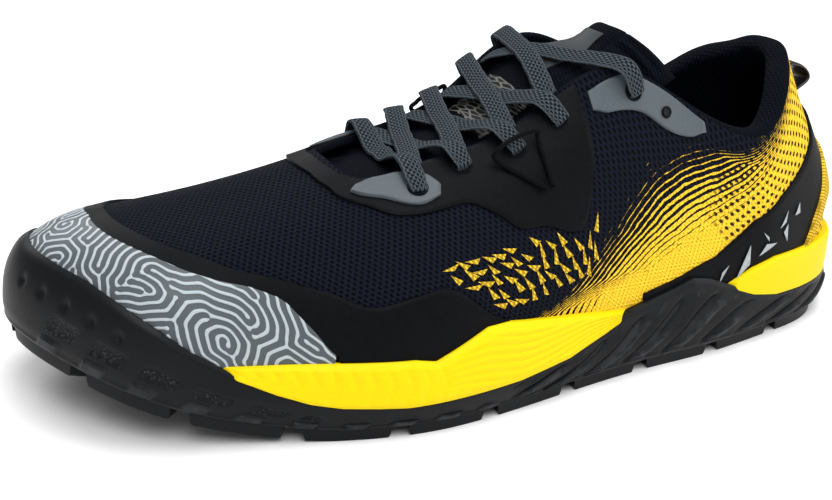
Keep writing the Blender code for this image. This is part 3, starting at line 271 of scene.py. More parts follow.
# Outline of the sole and of the top opening, toe tip first, round the outer side to the
# heel and back along the inner side. x and edge_x are shares of LENGTH, y and edge_y of
# BALL_WIDTH, edge_z of INSTEP_HEIGHT and pad of COLLAR_PADDING. These six come first, and
# then in and up at each of three places and the swell.
# How each rib of the upper climbs from the sole to the top opening, at a quarter, a half and
# three quarters of its run: in is the share of the way across, up the share of the climb.
# swell is the bulge of the wall half way up, as a share of BALL_WIDTH.
STATIONS = {
    "toe_tip": (0.5, -0.13, 0.186, -0.028, 0.665, 0.0, 0.01, 0.28, 0.14, 0.56, 0.52, 0.75, 0.0),
    "outer_toe": (0.477, 0.09, 0.186, 0.022, 0.66, 0.0, 0.01, 0.28, 0.14, 0.57, 0.52, 0.77, 0.0),
    "outer_toe_corner": (0.408, 0.305, 0.183, 0.078, 0.65, 0.0, 0.02, 0.28, 0.16, 0.57, 0.53, 0.8, 0.0),
    "little_toe": (0.306, 0.395, 0.167, 0.135, 0.645, 0.0, 0.05, 0.29, 0.2, 0.58, 0.55, 0.82, 0.0),
    "outer_ball": (0.172, 0.489, 0.103, 0.162, 0.69, 0.0, 0.05, 0.29, 0.23, 0.6, 0.58, 0.84, 0.0),
    "outer_middle": (0.015, 0.463, -0.003, 0.17, 0.785, 0.0, 0.06, 0.28, 0.24, 0.58, 0.56, 0.82, 0.0),
    "outer_waist": (-0.145, 0.405, -0.124, 0.206, 0.92, 0.15, 0.08, 0.28, 0.27, 0.56, 0.58, 0.8, 0.0),
    "outer_ankle": (-0.24, 0.388, -0.217, 0.27, 0.77, 0.8, 0.16, 0.26, 0.36, 0.52, 0.64, 0.77, 0.005),
    "outer_heel": (-0.33, 0.348, -0.297, 0.298, 0.7, 1, 0.2, 0.25, 0.5, 0.5, 0.78, 0.75, 0.02),
    "outer_heel_corner": (-0.44, 0.255, -0.364, 0.183, 0.845, 1, -0.02, 0.25, 0.22, 0.5, 0.6, 0.75, 0.0),
    "heel_back": (-0.5, 0.0, -0.397, 0.0, 0.885, 0.8, -0.1, 0.25, 0.13, 0.5, 0.58, 0.75, 0.0),
    "inner_heel_corner": (-0.44, -0.255, -0.362, -0.188, 0.845, 1, -0.02, 0.25, 0.22, 0.5, 0.6, 0.75, 0.0),
    "inner_heel": (-0.33, -0.34, -0.3, -0.294, 0.71, 1, 0.2, 0.25, 0.5, 0.5, 0.78, 0.75, 0.02),
    "inner_ankle": (-0.24, -0.335, -0.214, -0.266, 0.79, 0.8, 0.16, 0.26, 0.36, 0.52, 0.64, 0.77, 0.005),
    "inner_waist": (-0.145, -0.335, -0.11, -0.216, 0.93, 0.15, 0.08, 0.28, 0.27, 0.56, 0.58, 0.8, 0.0),
    "inner_arch": (0.015, -0.385, 0.0, -0.18, 0.785, 0.0, 0.06, 0.28, 0.24, 0.58, 0.56, 0.82, 0.0),
    "inner_ball": (0.19, -0.48, 0.107, -0.162, 0.675, 0.0, 0.05, 0.27, 0.23, 0.55, 0.58, 0.79, 0.0),
    "big_toe": (0.338, -0.455, 0.166, -0.128, 0.655, 0.0, 0.05, 0.27, 0.2, 0.52, 0.54, 0.73, 0.0),
    "big_toe_corner": (0.456, -0.345, 0.183, -0.083, 0.66, 0.0, 0.02, 0.27, 0.16, 0.53, 0.53, 0.72, 0.0),
}

# Top lines of the sole's two layers along each side, from toe to heel, as pairs of x, a
# share of LENGTH, and height, a share of SIDE_HEIGHT.
OUTER_OUTSOLE_TOP = (
    (0.5, 1.137), (0.493, 1.125), (0.469, 1.075), (0.448, 1.0), (0.411, 0.85), (0.383, 0.713),
    (0.362, 0.625), (0.341, 0.537), (0.304, 0.412), (0.272, 0.33), (0.243, 0.287), (0.178, 0.25),
    (0.105, 0.263), (0.047, 0.275), (-0.021, 0.338), (-0.072, 0.45), (-0.111, 0.55), (-0.174, 0.637),
    (-0.202, 0.688), (-0.228, 0.655), (-0.253, 0.588), (-0.298, 0.463), (-0.338, 0.4), (-0.384, 0.388),
    (-0.5, 0.388),
)
OUTER_MIDSOLE_TOP = (
    (0.5, 0.6), (0.362, 0.6), (0.316, 0.585), (0.248, 0.57), (0.194, 0.562), (0.172, 0.56), (0.148, 0.53),
    (0.105, 0.655), (0.088, 0.705), (0.062, 0.708), (0.036, 0.68), (-0.044, 0.608), (-0.111, 0.537),
    (-0.241, 0.537), (-0.264, 0.575), (-0.298, 0.662), (-0.338, 0.713), (-0.5, 0.688),
)
INNER_OUTSOLE_TOP = (
    (0.5, 1.137), (0.476, 1.075), (0.448, 0.988), (0.414, 0.838), (0.386, 0.7), (0.366, 0.6),
    (0.317, 0.412), (0.259, 0.3), (0.172, 0.263), (0.052, 0.287), (-0.034, 0.362), (-0.103, 0.537),
    (-0.172, 0.65), (-0.207, 0.675), (-0.248, 0.6), (-0.298, 0.463), (-0.338, 0.4), (-0.384, 0.388),
    (-0.5, 0.388),
)
INNER_MIDSOLE_TOP = (
    (0.5, 0.6), (0.366, 0.588), (0.317, 0.58), (0.248, 0.575), (0.172, 0.6), (0.052, 0.7), (-0.034, 0.675),
    (-0.114, 0.537), (-0.241, 0.537), (-0.264, 0.575), (-0.298, 0.662), (-0.338, 0.713), (-0.5, 0.688),
)


def cubic(t: Array, start: Array, leave: Array, stop: Array, arrive: Array) -> Array:
    """Points at shares t from start to stop, with the slopes leave and arrive."""
    first = (2 * t**3 - 3 * t**2 + 1) * start + (t**3 - 2 * t**2 + t) * leave
    return first + (3 * t**2 - 2 * t**3) * stop + (t**3 - t**2) * arrive


def closed_spline(knots: Array, period: float, values: Array, at: Array) -> Array:
    """Smooth closed curve through values at knots, read at the places in at.

    Args:
        knots: Places of the values.
        period: Place where the curve closes.
        values: A row for each knot.
        at: Places to read.

    Returns:
        A row for each place.
    """
    count = len(knots)
    spans = np.diff(np.append(knots, knots[0] + period))
    matrix = np.zeros((count, count))
    right = np.zeros((count, values.shape[1]))
    for i in range(count):
        before, after = spans[i - 1], spans[i]
        here, there = values[i], values[(i + 1) % count]
        matrix[i, i - 1] += 1 / before
        matrix[i, i] += 2 * (1 / before + 1 / after)
        matrix[i, (i + 1) % count] += 1 / after
        right[i] = 3 * ((here - values[i - 1]) / before**2 + (there - here) / after**2)
    slopes = np.linalg.solve(matrix, right)
    ends = np.append(knots, knots[0] + period)
    i = np.clip(np.searchsorted(ends, at, side="right") - 1, 0, count - 1)
    j = (i + 1) % count
    span = spans[i][:, None]
    t = (at - knots[i])[:, None] / span
    return cubic(t, values[i], span * slopes[i], values[j], span * slopes[j])


def open_spline(values: Array, at: Array) -> Array:
    """Natural cubic curve through evenly spaced values, read at shares 0 to 1 of its run.

    Args:
        values: Values along the first axis.
        at: Shares of the run.

    Returns:
        The values there.
    """
    count = len(values)
    matrix = np.zeros((count, count))
    right = np.zeros_like(values)
    matrix[0, 0] = matrix[-1, -1] = 2
    matrix[0, 1] = matrix[-1, -2] = 1
    right[0], right[-1] = 3 * (values[1] - values[0]), 3 * (values[-1] - values[-2])
    for i in range(1, count - 1):
        matrix[i, i - 1 : i + 2] = 1, 4, 1
        right[i] = 3 * (values[i + 1] - values[i - 1])
    slopes = np.linalg.solve(matrix, right.reshape(count, -1)).reshape(values.shape)
    place = np.asarray(at) * (count - 1)
    i = np.clip(place.astype(int), 0, count - 2)
    t = (place - i).reshape((-1,) + (1,) * (values.ndim - 1))
    return cubic(t, values[i], slopes[i], values[i + 1], slopes[i + 1])


def ground_lift(x: Array) -> Array:
    """Height of the sole's underside above the floor at x, from its rocker."""
    toe = np.clip((x - TOE_BREAK) / (LENGTH / 2 - TOE_BREAK), 0, None)
    heel = np.clip((HEEL_BREAK - x) / (HEEL_BREAK + LENGTH / 2), 0, None)
    return TOE_SPRING * toe**TOE_CURVE + HEEL_LIFT * heel**2


def unit(vectors: Array) -> Array:
    """The vectors at length one."""
    return vectors / np.linalg.norm(vectors, axis=-1, keepdims=True)


class Last:
    """The upper's outer surface, as ribs that climb from the sole to the top opening."""

    def __init__(self, ribs: int) -> None:
        """Lofts the ribs from the stations.

        Args:
            ribs: Number of ribs round the shoe.
        """
        self.ribs = ribs
        table_rows = np.array(list(STATIONS.values()))
        sizes = (LENGTH, BALL_WIDTH, LENGTH, BALL_WIDTH, INSTEP_HEIGHT, COLLAR_PADDING)
        stations = table_rows[:, :6] * sizes
        around = np.linalg.norm(np.diff(stations[:, :2], axis=0, append=stations[:1, :2]), axis=1)
        knots = np.concatenate([[0], np.cumsum(around)[:-1]])
        heel = knots[list(STATIONS).index("heel_back")]
        half = ribs // 2
        outer = np.linspace(0, heel, half, endpoint=False)
        inner = np.linspace(heel, around.sum(), ribs - half, endpoint=False)
        at = np.concatenate([outer, inner])
        curves = closed_spline(knots, around.sum(), stations, at)
        shape = closed_spline(knots, around.sum(), table_rows[:, 6:], at)
        self.outline, self.edge = curves[:, :2], curves[:, 2:5]
        self.pad = np.clip(curves[:, 5], 0, COLLAR_PADDING)
        along = np.roll(self.outline, -1, axis=0) - np.roll(self.outline, 1, axis=0)
        self.plan_normal = unit(np.stack([-along[:, 1], along[:, 0]], axis=1)) * -1
        self.lift = ground_lift(self.outline[:, 0])
        foot_height = FOOTBED_HEIGHT + FOOTBED_LIFT_SHARE * self.lift
        inset = self.outline - self.plan_normal * SIDE_THICKNESS
        self.foot = np.column_stack([inset, foot_height])
        self.fine = np.linspace(0, 1, FINE_STEPS + 1)
        self.points = self.climb(shape)
        self.normals = self.facing()
        self.top_lines()

    def climb(self, shape: Array) -> Array:
        """Points of every rib at the fine steps, as an array of ribs by steps by 3.

        Args:
            shape: How each rib climbs, from the table of ribs.

        Returns:
            The points.
        """
        zero, one = np.zeros(self.ribs), np.ones(self.ribs)
        across = open_spline(np.array([zero, shape[:, 0], shape[:, 2], shape[:, 4], one]), self.fine)
        up = open_spline(np.array([zero, shape[:, 1], shape[:, 3], shape[:, 5], one]), self.fine)
        reach = (self.edge - self.foot)[:, None, :]
        share = np.stack([across.T, across.T, up.T], axis=2)
        points = self.foot[:, None, :] + reach * share
        bulge = shape[:, 6:7] * BALL_WIDTH * np.sin(math.pi * self.fine)[None, :]
        points[:, :, :2] += self.plan_normal[:, None, :] * bulge[:, :, None]
        return points

    def facing(self) -> Array:
        """Outward normals at every point of the ribs."""
        round_the_shoe = np.roll(self.points, -1, axis=0) - np.roll(self.points, 1, axis=0)
        normals = unit(np.cross(round_the_shoe, np.gradient(self.points, axis=1)))
        level = np.concatenate([self.plan_normal, np.zeros((self.ribs, 1))], axis=1)[:, None, :]
        share = np.clip(self.fine / NORMAL_BLEND, 0, 1)[None, :, None]
        return unit(level * (1 - share) + normals * share)

    def top_lines(self) -> None:
        """Heights of the outsole's and midsole's top lines at every rib."""
        is_outer = np.arange(self.ribs) <= self.ribs // 2
        sides = ((OUTER_OUTSOLE_TOP, INNER_OUTSOLE_TOP), (OUTER_MIDSOLE_TOP, INNER_MIDSOLE_TOP))
        tops = []
        for outer, inner in sides:
            outer, inner = np.array(outer[::-1]), np.array(inner[::-1])
            share = self.outline[:, 0] / LENGTH
            on_outer = np.interp(share, outer[:, 0], outer[:, 1])
            on_inner = np.interp(share, inner[:, 0], inner[:, 1])
            tops.append(np.where(is_outer, on_outer, on_inner) * SIDE_HEIGHT)
        self.outsole_top, self.midsole_top = tops
        self.side_top = np.maximum(*tops)

    def run_at_height(self, height: Array) -> Array:
        """Share of each rib's run at which it reaches a height."""
        heights = zip(height, self.points[:, :, 2])
        return np.array([np.interp(z, rib, self.fine) for z, rib in heights])

    def at(
        self, run: Array | float, offset: Array | float = 0.0, rows: Array | None = None
    ) -> Array:
        """Point of the ribs in rows at shares of their run, moved out along the normal.

        Args:
            run: Shares of the run.
            offset: Step out along the normal.
            rows: Numbers of the ribs, or all of them.

        Returns:
            A point for each rib.
        """
        rows = np.arange(self.ribs) if rows is None else np.asarray(rows) % self.ribs
        place = np.clip(np.broadcast_to(run, rows.shape), 0, 1) * FINE_STEPS
        i = np.minimum(place.astype(int), FINE_STEPS - 1)
        t = (place - i)[:, None]
        point = self.points[rows, i] * (1 - t) + self.points[rows, i + 1] * t
        normal = unit(self.normals[rows, i] * (1 - t) + self.normals[rows, i + 1] * t)
        return point + normal * np.broadcast_to(offset, rows.shape)[:, None]

    def between(
        self, place: Array | float, run: Array | float, offset: Array | float = 0.0
    ) -> Array:
        """Point at a fractional place round the ribs, a share of the run and an offset."""
        place = np.atleast_1d(np.asarray(place, dtype=float))
        first = np.floor(place).astype(int)
        t = (place - first)[:, None]
        here = self.at(run, offset, first)
        return here * (1 - t) + self.at(run, offset, first + 1) * t

    def cover(self, height: Array) -> Array:
        """Thickness of the sole's side over the upper at a height of each rib."""
        rise = height - self.foot[:, 2]
        share = np.clip(rise / (self.side_top - self.foot[:, 2]), 0, 1)
        return SIDE_THICKNESS + (SIDE_LIP - SIDE_THICKNESS) * share

    def side(self, height: Array, cover: Array | float) -> Array:
        """Points of the sole's side at a height, at a cover out from the upper's line.

        Args:
            height: Height of each rib.
            cover: Step out from the upper's line.

        Returns:
            A point for each rib.
        """
        height = np.broadcast_to(height, (self.ribs,))
        cover = np.broadcast_to(cover, (self.ribs,))
        above = self.at(self.run_at_height(height), cover)
        drop = (self.foot[:, 2] - height) / (self.foot[:, 2] - self.lift)
        inset = GROUND_INSET * np.clip(drop, 0, 1) ** 2 + SIDE_THICKNESS - cover
        plan = self.outline - self.plan_normal * inset[:, None]
        below = np.column_stack([plan, height])
        return np.where((height > self.foot[:, 2])[:, None], above, below)


def tread_point(last: Last, place: Array, inward: float) -> Array:
    """Plan points a distance inward of the tread's rim at fractional places."""
    place = np.atleast_1d(place)
    first = np.floor(place).astype(int)
    t = (place - first)[:, None]
    plan = last.outline - last.plan_normal * (GROUND_INSET * 0.55 + inward)
    return plan[first % last.ribs] * (1 - t) + plan[(first + 1) % last.ribs] * t


def table(pairs: Pairs, at: Array) -> Array:
    """Value of a table of pairs at the places in at."""
    columns = np.array(pairs)
    return np.interp(at, columns[:, 0], columns[:, 1])


def sole_line(last: Last, places: Array) -> Array:
    """Run at which the upper leaves the top of the sole's side, at fractional places."""
    runs = last.run_at_height(last.side_top) + SOLE_LINE_STEP
    return np.interp(np.mod(places, last.ribs), np.arange(last.ribs + 1), np.append(runs, runs[0]))


def smooth_path(points: Array, steps: int) -> Array:
    """Curve through the points, with a number of steps between each two.

    Args:
        points: Points of the path.
        steps: Steps between two of them.

    Returns:
        The curve's points.
    """
    padded = np.vstack([2 * points[0] - points[1], points, 2 * points[-1] - points[-2]])
    path = []
    for k in range(1, len(padded) - 2):
        a, b, c, d = padded[k - 1 : k + 3]
        for step in range(steps):
            t = step / steps
            curve = 2 * b + (c - a) * t + (2 * a - 5 * b + 4 * c - d) * t**2
            path.append((curve + (3 * b - a - 3 * c + d) * t**3) / 2)
    return np.array([*path, padded[-2]])


# Fineness of the looks
FINE_RIBS = 640
SOLE_RIBS = 1120
WEAVE_AXIS_HEIGHT = 0.01
WEAVE_RADIUS = 0.04
WEAVE_LEAN = 0.5
SEED = 7

# Line on each side behind which the knit turns amber: share of the run and share of the way round.
FADE_LINE = (
    (0.0, 0.222), (0.19, 0.242), (0.23, 0.268), (0.375, 0.296), (0.58, 0.325), (0.84, 0.362), (1.0, 0.41),
)
FADE_WIDTH = 0.058

# Printed shards on the heel counter, as shares round and along the run
COUNTER_SHARDS = (
    ((0.3656, 0.167), (0.3725, 0.271), (0.3675, 0.229)),
    ((0.3775, 0.188), (0.3869, 0.385), (0.3869, 0.271)),
    ((0.3931, 0.312), (0.3988, 0.378), (0.4069, 0.365)), ((0.3962, 0.452), (0.4005, 0.417), (0.4005, 0.39)),
    ((0.4094, 0.44), (0.4175, 0.515), (0.4148, 0.455)), ((0.4125, 0.406), (0.4165, 0.44), (0.4152, 0.34)),
    ((0.4231, 0.455), (0.4288, 0.5), (0.428, 0.445)),
)
HEEL_PATCH_TOP = (
    (0.429, 0.222), (0.434, 0.272), (0.441, 0.344), (0.448, 0.387), (0.456, 0.43), (0.468, 0.52),
    (0.5, 0.6),
)

# Weave, print and streak sizes of the materials, in metres unless a share
KNIT_PITCH = 0.00195
AMBER_PITCH = 0.0016
DOT_PITCH = 0.0046
DOT_SPANS = (0.6, 0.085)
STREAKS = 13.0
MAZE_LINE = 0.36
LACE_PITCH = 0.0019


class Finish(Enum):
    """Material slots of the record."""

    KNIT = "knit_mesh"
    RUBBER = "black_rubber"
    FOAM = "yellow_foam"
    LINING = "dark_lining"
    GREY_FILM = "grey_film"
    BLACK_FILM = "black_film"
    LACE = "grey_lace"
    WEBBING = "black_webbing"


@dataclass(frozen=True)
class Look:
    """Colour and sheen of a surface.

    Attributes:
        colour: Linear base colour.
        roughness: Principled roughness.
        sheen: Principled sheen weight.
        coat: Principled coat weight.
        specular: Principled specular level.
    """

    colour: tuple[float, float, float]
    roughness: float
    sheen: float = 0.0
    coat: float = 0.0
    specular: float = 0.5


NAVY = Look((0.006, 0.009, 0.022), 0.8, specular=0.05)
# Holes of the knit: painted shade. Yarn between them: its own navy with painted sheen.
NAVY_HOLE_SHADE = (0.0004, 0.0005, 0.001)
NAVY_YARN_SHEEN = (0.0048, 0.0063, 0.0125)
AMBER = Look((0.92, 0.58, 0.034), 0.74, specular=0.1)
AMBER_SHADE = (0.6, 0.33, 0.016)
DOT_COLOUR = (0.03, 0.022, 0.012)
FOAM = Look((0.79, 0.585, 0.0006), 0.55, specular=0.12)
RUBBER = Look((0.0042, 0.0047, 0.0058), 0.44, specular=0.14)
# Lighter grey of the painted highlight on the rubber's pebble crowns and raised bars.
RUBBER_HIGHLIGHT = (0.03, 0.032, 0.036)
CAP_GREY = Look((0.068, 0.082, 0.092), 0.46, specular=0.3)
CAP_LINE = Look((0.38, 0.43, 0.46), 0.42)
FILM = Look((0.0034, 0.0038, 0.0048), 0.5, specular=0.05)
PATCH = Look((0.07, 0.087, 0.1), 0.48, specular=0.25)
LABEL = Look((0.03, 0.034, 0.038), 0.55, specular=0.15)
LACE_GREY = Look((0.066, 0.084, 0.098), 0.88, specular=0.1)
LACE_SHADE = (0.026, 0.034, 0.042)
LACE_DARK = Look((0.004, 0.005, 0.007), 0.88, specular=0.08)
LINING = Look((0.0032, 0.0045, 0.0095), 0.88, specular=0.05)
WEBBING = Look((0.006, 0.006, 0.007), 0.34, coat=0.12, specular=0.3)
SHARD_GREY = Look((0.36, 0.39, 0.41), 0.5)
PRINT_STROKE = (0.115, 0.115, 0.108)


class Nodes:
    """Helper that adds nodes to one tree."""

    def __init__(self, tree: Tree) -> None:
        """Keeps the tree."""
        self.tree = tree

    def link(self, source: Socket, target: Socket) -> None:
        """Links two sockets."""
        self.tree.links.new(source, target)

    def node(self, kind: str, **settings: object) -> bpy.types.Node:
        """Adds a node and sets its properties."""
        made = self.tree.nodes.new(kind)
        for key, value in settings.items():
            setattr(made, key, value)
        return made

    def feed(self, socket: Socket, value: object) -> None:
        """Links a socket or sets its value."""
        if isinstance(value, Socket):
            self.link(value, socket)
        else:
            socket.default_value = value

    def attribute(self, name: str) -> Socket:
        """Reads a mesh attribute."""
        return self.node("ShaderNodeAttribute", attribute_name=name).outputs["Fac"]

    def math(self, operation: str, *values: object) -> Socket:
        """Adds a maths node."""
        made = self.node("ShaderNodeMath", operation=operation)
        for socket, value in zip(made.inputs, values):
            self.feed(socket, value)
        return made.outputs[0]

    def step(self, value: object, low: float, high: float) -> Socket:
        """Smooth step of a value between two limits."""
        made = self.node("ShaderNodeMapRange", interpolation_type="SMOOTHSTEP")
        self.feed(made.inputs["Value"], value)
        made.inputs["From Min"].default_value = low
        made.inputs["From Max"].default_value = high
        return made.outputs["Result"]

    def vector(self, *parts: object) -> Socket:
        """Joins up to three values into a vector."""
        made = self.node("ShaderNodeCombineXYZ")
        for socket, value in zip(made.inputs, parts):
            self.feed(socket, value)
        return made.outputs[0]

    def mix(self, share: object, first: object, second: object) -> Socket:
        """Mixes two colours."""
        made = self.node("ShaderNodeMix", data_type="RGBA")
        self.feed(made.inputs[0], share)
        for socket, value in ((made.inputs[6], first), (made.inputs[7], second)):
            self.feed(socket, value if isinstance(value, Socket) else (*value, 1.0))
        return made.outputs[2]


class Effect(Nodes):
    """Shader node group that several materials share."""

    def __init__(self, name: str, inputs: dict[str, float], output: str) -> None:
        """Makes the group with its named sockets.

        Args:
            name: Group name.
            inputs: Names and usual values of its inputs.
            output: Name of its output.
        """
        super().__init__(bpy.data.node_groups.new(name, "ShaderNodeTree"))
        for key, value in inputs.items():
            socket = self.tree.interface.new_socket(key, in_out="INPUT", socket_type="NodeSocketFloat")
            socket.default_value = value
        self.tree.interface.new_socket(output, in_out="OUTPUT", socket_type="NodeSocketFloat")
        self.inputs = self.node("NodeGroupInput").outputs
        self.exit = self.node("NodeGroupOutput").inputs[0]


def thread_grid() -> Tree:
    """Group that gives the distance from the points of a staggered grid of threads.

    Returns:
        The group, with the inputs Along, Across and Pitch.
    """
    found = bpy.data.node_groups.get("thread_grid")
    if found:
        return found
    effect = Effect("thread_grid", {"Along": 0.0, "Across": 0.0, "Pitch": 0.001}, "Distance")
    pitch, names = effect.inputs["Pitch"], ("Along", "Across")
    along, across = (effect.math("DIVIDE", effect.inputs[name], pitch) for name in names)
    dots = effect.node("ShaderNodeTexVoronoi", voronoi_dimensions="2D")
    dots.inputs["Scale"].default_value = 1.0
    dots.inputs["Randomness"].default_value = 0.0
    turned = effect.vector(effect.math("ADD", along, across), effect.math("SUBTRACT", along, across))
    effect.link(turned, dots.inputs["Vector"])
    effect.link(dots.outputs["Distance"], effect.exit)
    return effect.tree


def surface_grain() -> Tree:
    """Group that gives a soft noise over an object's own coordinates.

    Returns:
        The group, with the input Scale per metre.
    """
    found = bpy.data.node_groups.get("surface_grain")
    if found:
        return found
    effect = Effect("surface_grain", {"Scale": 500.0}, "Height")
    made = effect.node("ShaderNodeTexNoise")
    made.inputs["Detail"].default_value = 3.0
    effect.link(effect.node("ShaderNodeTexCoord").outputs["Object"], made.inputs["Vector"])
    effect.link(effect.inputs["Scale"], made.inputs["Scale"])
    effect.link(made.outputs["Fac"], effect.exit)
    return effect.tree


class Shader(Nodes):
    """Material under construction."""

    def __init__(self, name: str, look: Look) -> None:
        """Starts a material with a Principled surface.

        Args:
            name: Material name.
            look: Colour and sheen.
        """
        self.material = bpy.data.materials.new(name)
        self.material.use_nodes = True
        super().__init__(self.material.node_tree)
        self.surface = self.tree.nodes["Principled BSDF"]
        values = {
            "Base Color": (*look.colour, 1.0),
            "Roughness": look.roughness,
            "Sheen Weight": look.sheen,
            "Coat Weight": look.coat,
            "Specular IOR Level": look.specular,
        }
        for key, value in values.items():
            self.surface.inputs[key].default_value = value

    def place(self, group: Tree, **values: object) -> Socket:
        """Places a shared group."""
        made = self.node("ShaderNodeGroup", node_tree=group)
        for key, value in values.items():
            self.feed(made.inputs[key], value)
        return made.outputs[0]

    def weave(self, pitch: float) -> Socket:
        """Distance from the points of a staggered grid over the piece, in pitches."""
        return self.place(
            thread_grid(), Along=self.attribute("weave_a"), Across=self.attribute("weave_q"), Pitch=pitch
        )

    def grain(self, scale: float) -> Socket:
        """Soft noise."""
        return self.place(surface_grain(), Scale=scale)

    def paint(self, colour: object) -> None:
        """Sets the base colour."""
        self.link(colour, self.surface.inputs["Base Color"])

    def bump(self, height: object, distance: float, strength: float = 1.0) -> None:
        """Bumps the surface."""
        made = self.node("ShaderNodeBump")
        made.inputs["Strength"].default_value = strength
        made.inputs["Distance"].default_value = distance
        self.feed(made.inputs["Height"], height)
        self.link(made.outputs[0], self.surface.inputs["Normal"])


def knit_material() -> Material:
    """Knit of the upper: navy rows of holes that fade to dotted amber through streaks. The holes carry painted shade,
    the yarn its own navy with painted sheen.

    Returns:
        The material.
    """
    shader = Shader("knit", NAVY)
    q = shader.attribute("weave_q")
    fade = shader.attribute("fade")
    ripple = shader.math("MULTIPLY", shader.math("SUBTRACT", shader.grain(160.0), 0.5), 0.7)
    phase = shader.math("FRACT", shader.math("ADD", shader.math("MULTIPLY", fade, STREAKS), ripple))
    line = shader.math("ABSOLUTE", shader.math("SUBTRACT", phase, 0.5))
    breaks = shader.math("MULTIPLY", shader.math("SUBTRACT", shader.grain(420.0), 0.5), 0.35)
    line = shader.math("SUBTRACT", shader.math("MULTIPLY", fade, 0.52), shader.math("ADD", line, breaks))
    streak = shader.step(line, -0.02, 0.05)
    holes = shader.step(shader.weave(KNIT_PITCH), 0.2, 0.36)
    yarn = shader.math("SINE", shader.math("MULTIPLY", q, 2 * math.pi / 0.0011))
    spread = shader.place(
        thread_grid(), Along=shader.attribute("dot_a"), Across=shader.attribute("dot_q"), Pitch=DOT_PITCH
    )
    dots = shader.step(spread, 0.22, 0.3)
    spot = shader.math("MULTIPLY", shader.math("SUBTRACT", 1.0, dots), shader.attribute("dotted"))
    amber = shader.mix(shader.step(shader.weave(AMBER_PITCH), 0.16, 0.34), AMBER_SHADE, AMBER.colour)
    amber = shader.mix(spot, amber, DOT_COLOUR)
    # Painted shade in the holes, painted sheen on the yarn rows between them.
    navy = shader.mix(holes, NAVY_HOLE_SHADE, NAVY_YARN_SHEEN)
    shader.paint(shader.mix(streak, navy, amber))
    height = shader.math("ADD", holes, shader.math("MULTIPLY", yarn, 0.22))
    shader.bump(shader.math("SUBTRACT", height, spot), 0.00035, 0.9)
    return shader.material


def cap_material() -> Material:
    """Grey film of the toe cap with raised labyrinth lines of one width."""
    shader = Shader("toe_cap", CAP_GREY)
    line = shader.step(shader.attribute("maze"), MAZE_LINE - 0.12, MAZE_LINE + 0.12)
    shader.paint(shader.mix(line, CAP_GREY.colour, CAP_LINE.colour))
    shader.bump(line, 0.0002)
    return shader.material


def plain_material(
    name: str, look: Look, grain: float = 900.0, depth: float = 0.00006, shade: float = 0.72
) -> Material:
    """Plain surface with a fine grain.

    Args:
        name: Material name.
        look: Colour and sheen.
        grain: Scale of the grain per metre.
        depth: Depth of the grain in metres.
        shade: How dark its low places are, as a share of the colour.

    Returns:
        The material.
    """
    shader = Shader(name, look)
    grain = shader.grain(grain)
    darker = tuple(value * shade for value in look.colour)
    shader.paint(shader.mix(shader.step(grain, 0.3, 0.7), darker, look.colour))
    shader.bump(grain, depth, 0.6)
    return shader.material


def rubber_material() -> Material:
    """Black rubber with pebbled patches, and a painted highlight on the pebble crowns and on the raised bars.

    Returns:
        The material.
    """
    shader = Shader("rubber", RUBBER)
    pebbles = shader.node("ShaderNodeTexVoronoi")
    pebbles.inputs["Scale"].default_value = 760.0
    shader.link(shader.node("ShaderNodeTexCoord").outputs["Object"], pebbles.inputs["Vector"])
    # Pebble crowns are painted lighter as well as bumped: painted highlight.
    bead = shader.math("SUBTRACT", 1.0, shader.step(pebbles.outputs["Distance"], 0.2, 0.55))
    bead = shader.math("MULTIPLY", bead, shader.attribute("pebble"))
    # Raised bars are painted lighter, mottled by noise: painted highlight.
    bar_highlight = shader.math("MULTIPLY", shader.attribute("bar_highlight"), shader.step(shader.grain(260.0), 0.25, 0.75))
    light = shader.math("ADD", shader.math("MULTIPLY", bead, 0.7), bar_highlight)
    shader.paint(shader.mix(light, RUBBER.colour, RUBBER_HIGHLIGHT))
    fine = shader.math("MULTIPLY", shader.grain(900.0), 0.12)
    shader.bump(shader.math("ADD", fine, bead), 0.0006, 0.9)
    return shader.material


def cloth_material(name: str, look: Look, pitch: float = 0.0011) -> Material:
    """Woven cloth with a fine thread grid.

    Args:
        name: Material name.
        look: Colour and sheen.
        pitch: Distance between threads in metres.

    Returns:
        The material.
    """
    shader = Shader(name, look)
    thread = shader.step(shader.weave(pitch), 0.15, 0.5)
    shade = tuple(value * 0.35 for value in look.colour)
    shader.paint(shader.mix(thread, look.colour, shade))
    shader.bump(thread, 0.00022, 0.8)
    return shader.material


def lace_material() -> Material:
    """Flat woven lace, grey with rows of dark dots between plain edges.

    Returns:
        The material.
    """
    shader = Shader("lace", LACE_GREY)
    across = shader.attribute("weave_q")
    dots = shader.math("SUBTRACT", 1.0, shader.step(shader.weave(LACE_PITCH), 0.26, 0.4))
    middle = shader.math("SUBTRACT", 1.0, shader.step(shader.math("ABSOLUTE", across), 0.0026, 0.0031))
    dark = shader.math("MULTIPLY", dots, middle)
    cord = shader.math("SINE", shader.math("MULTIPLY", across, 2 * math.pi / 0.0011))
    yarn = shader.mix(shader.step(cord, -0.9, -0.2), LACE_SHADE, LACE_GREY.colour)
    shader.paint(shader.mix(dark, yarn, LACE_DARK.colour))
    height = shader.math("SUBTRACT", shader.math("MULTIPLY", cord, 0.35), dots)
    shader.bump(height, 0.00045, 1.0)
    return shader.material


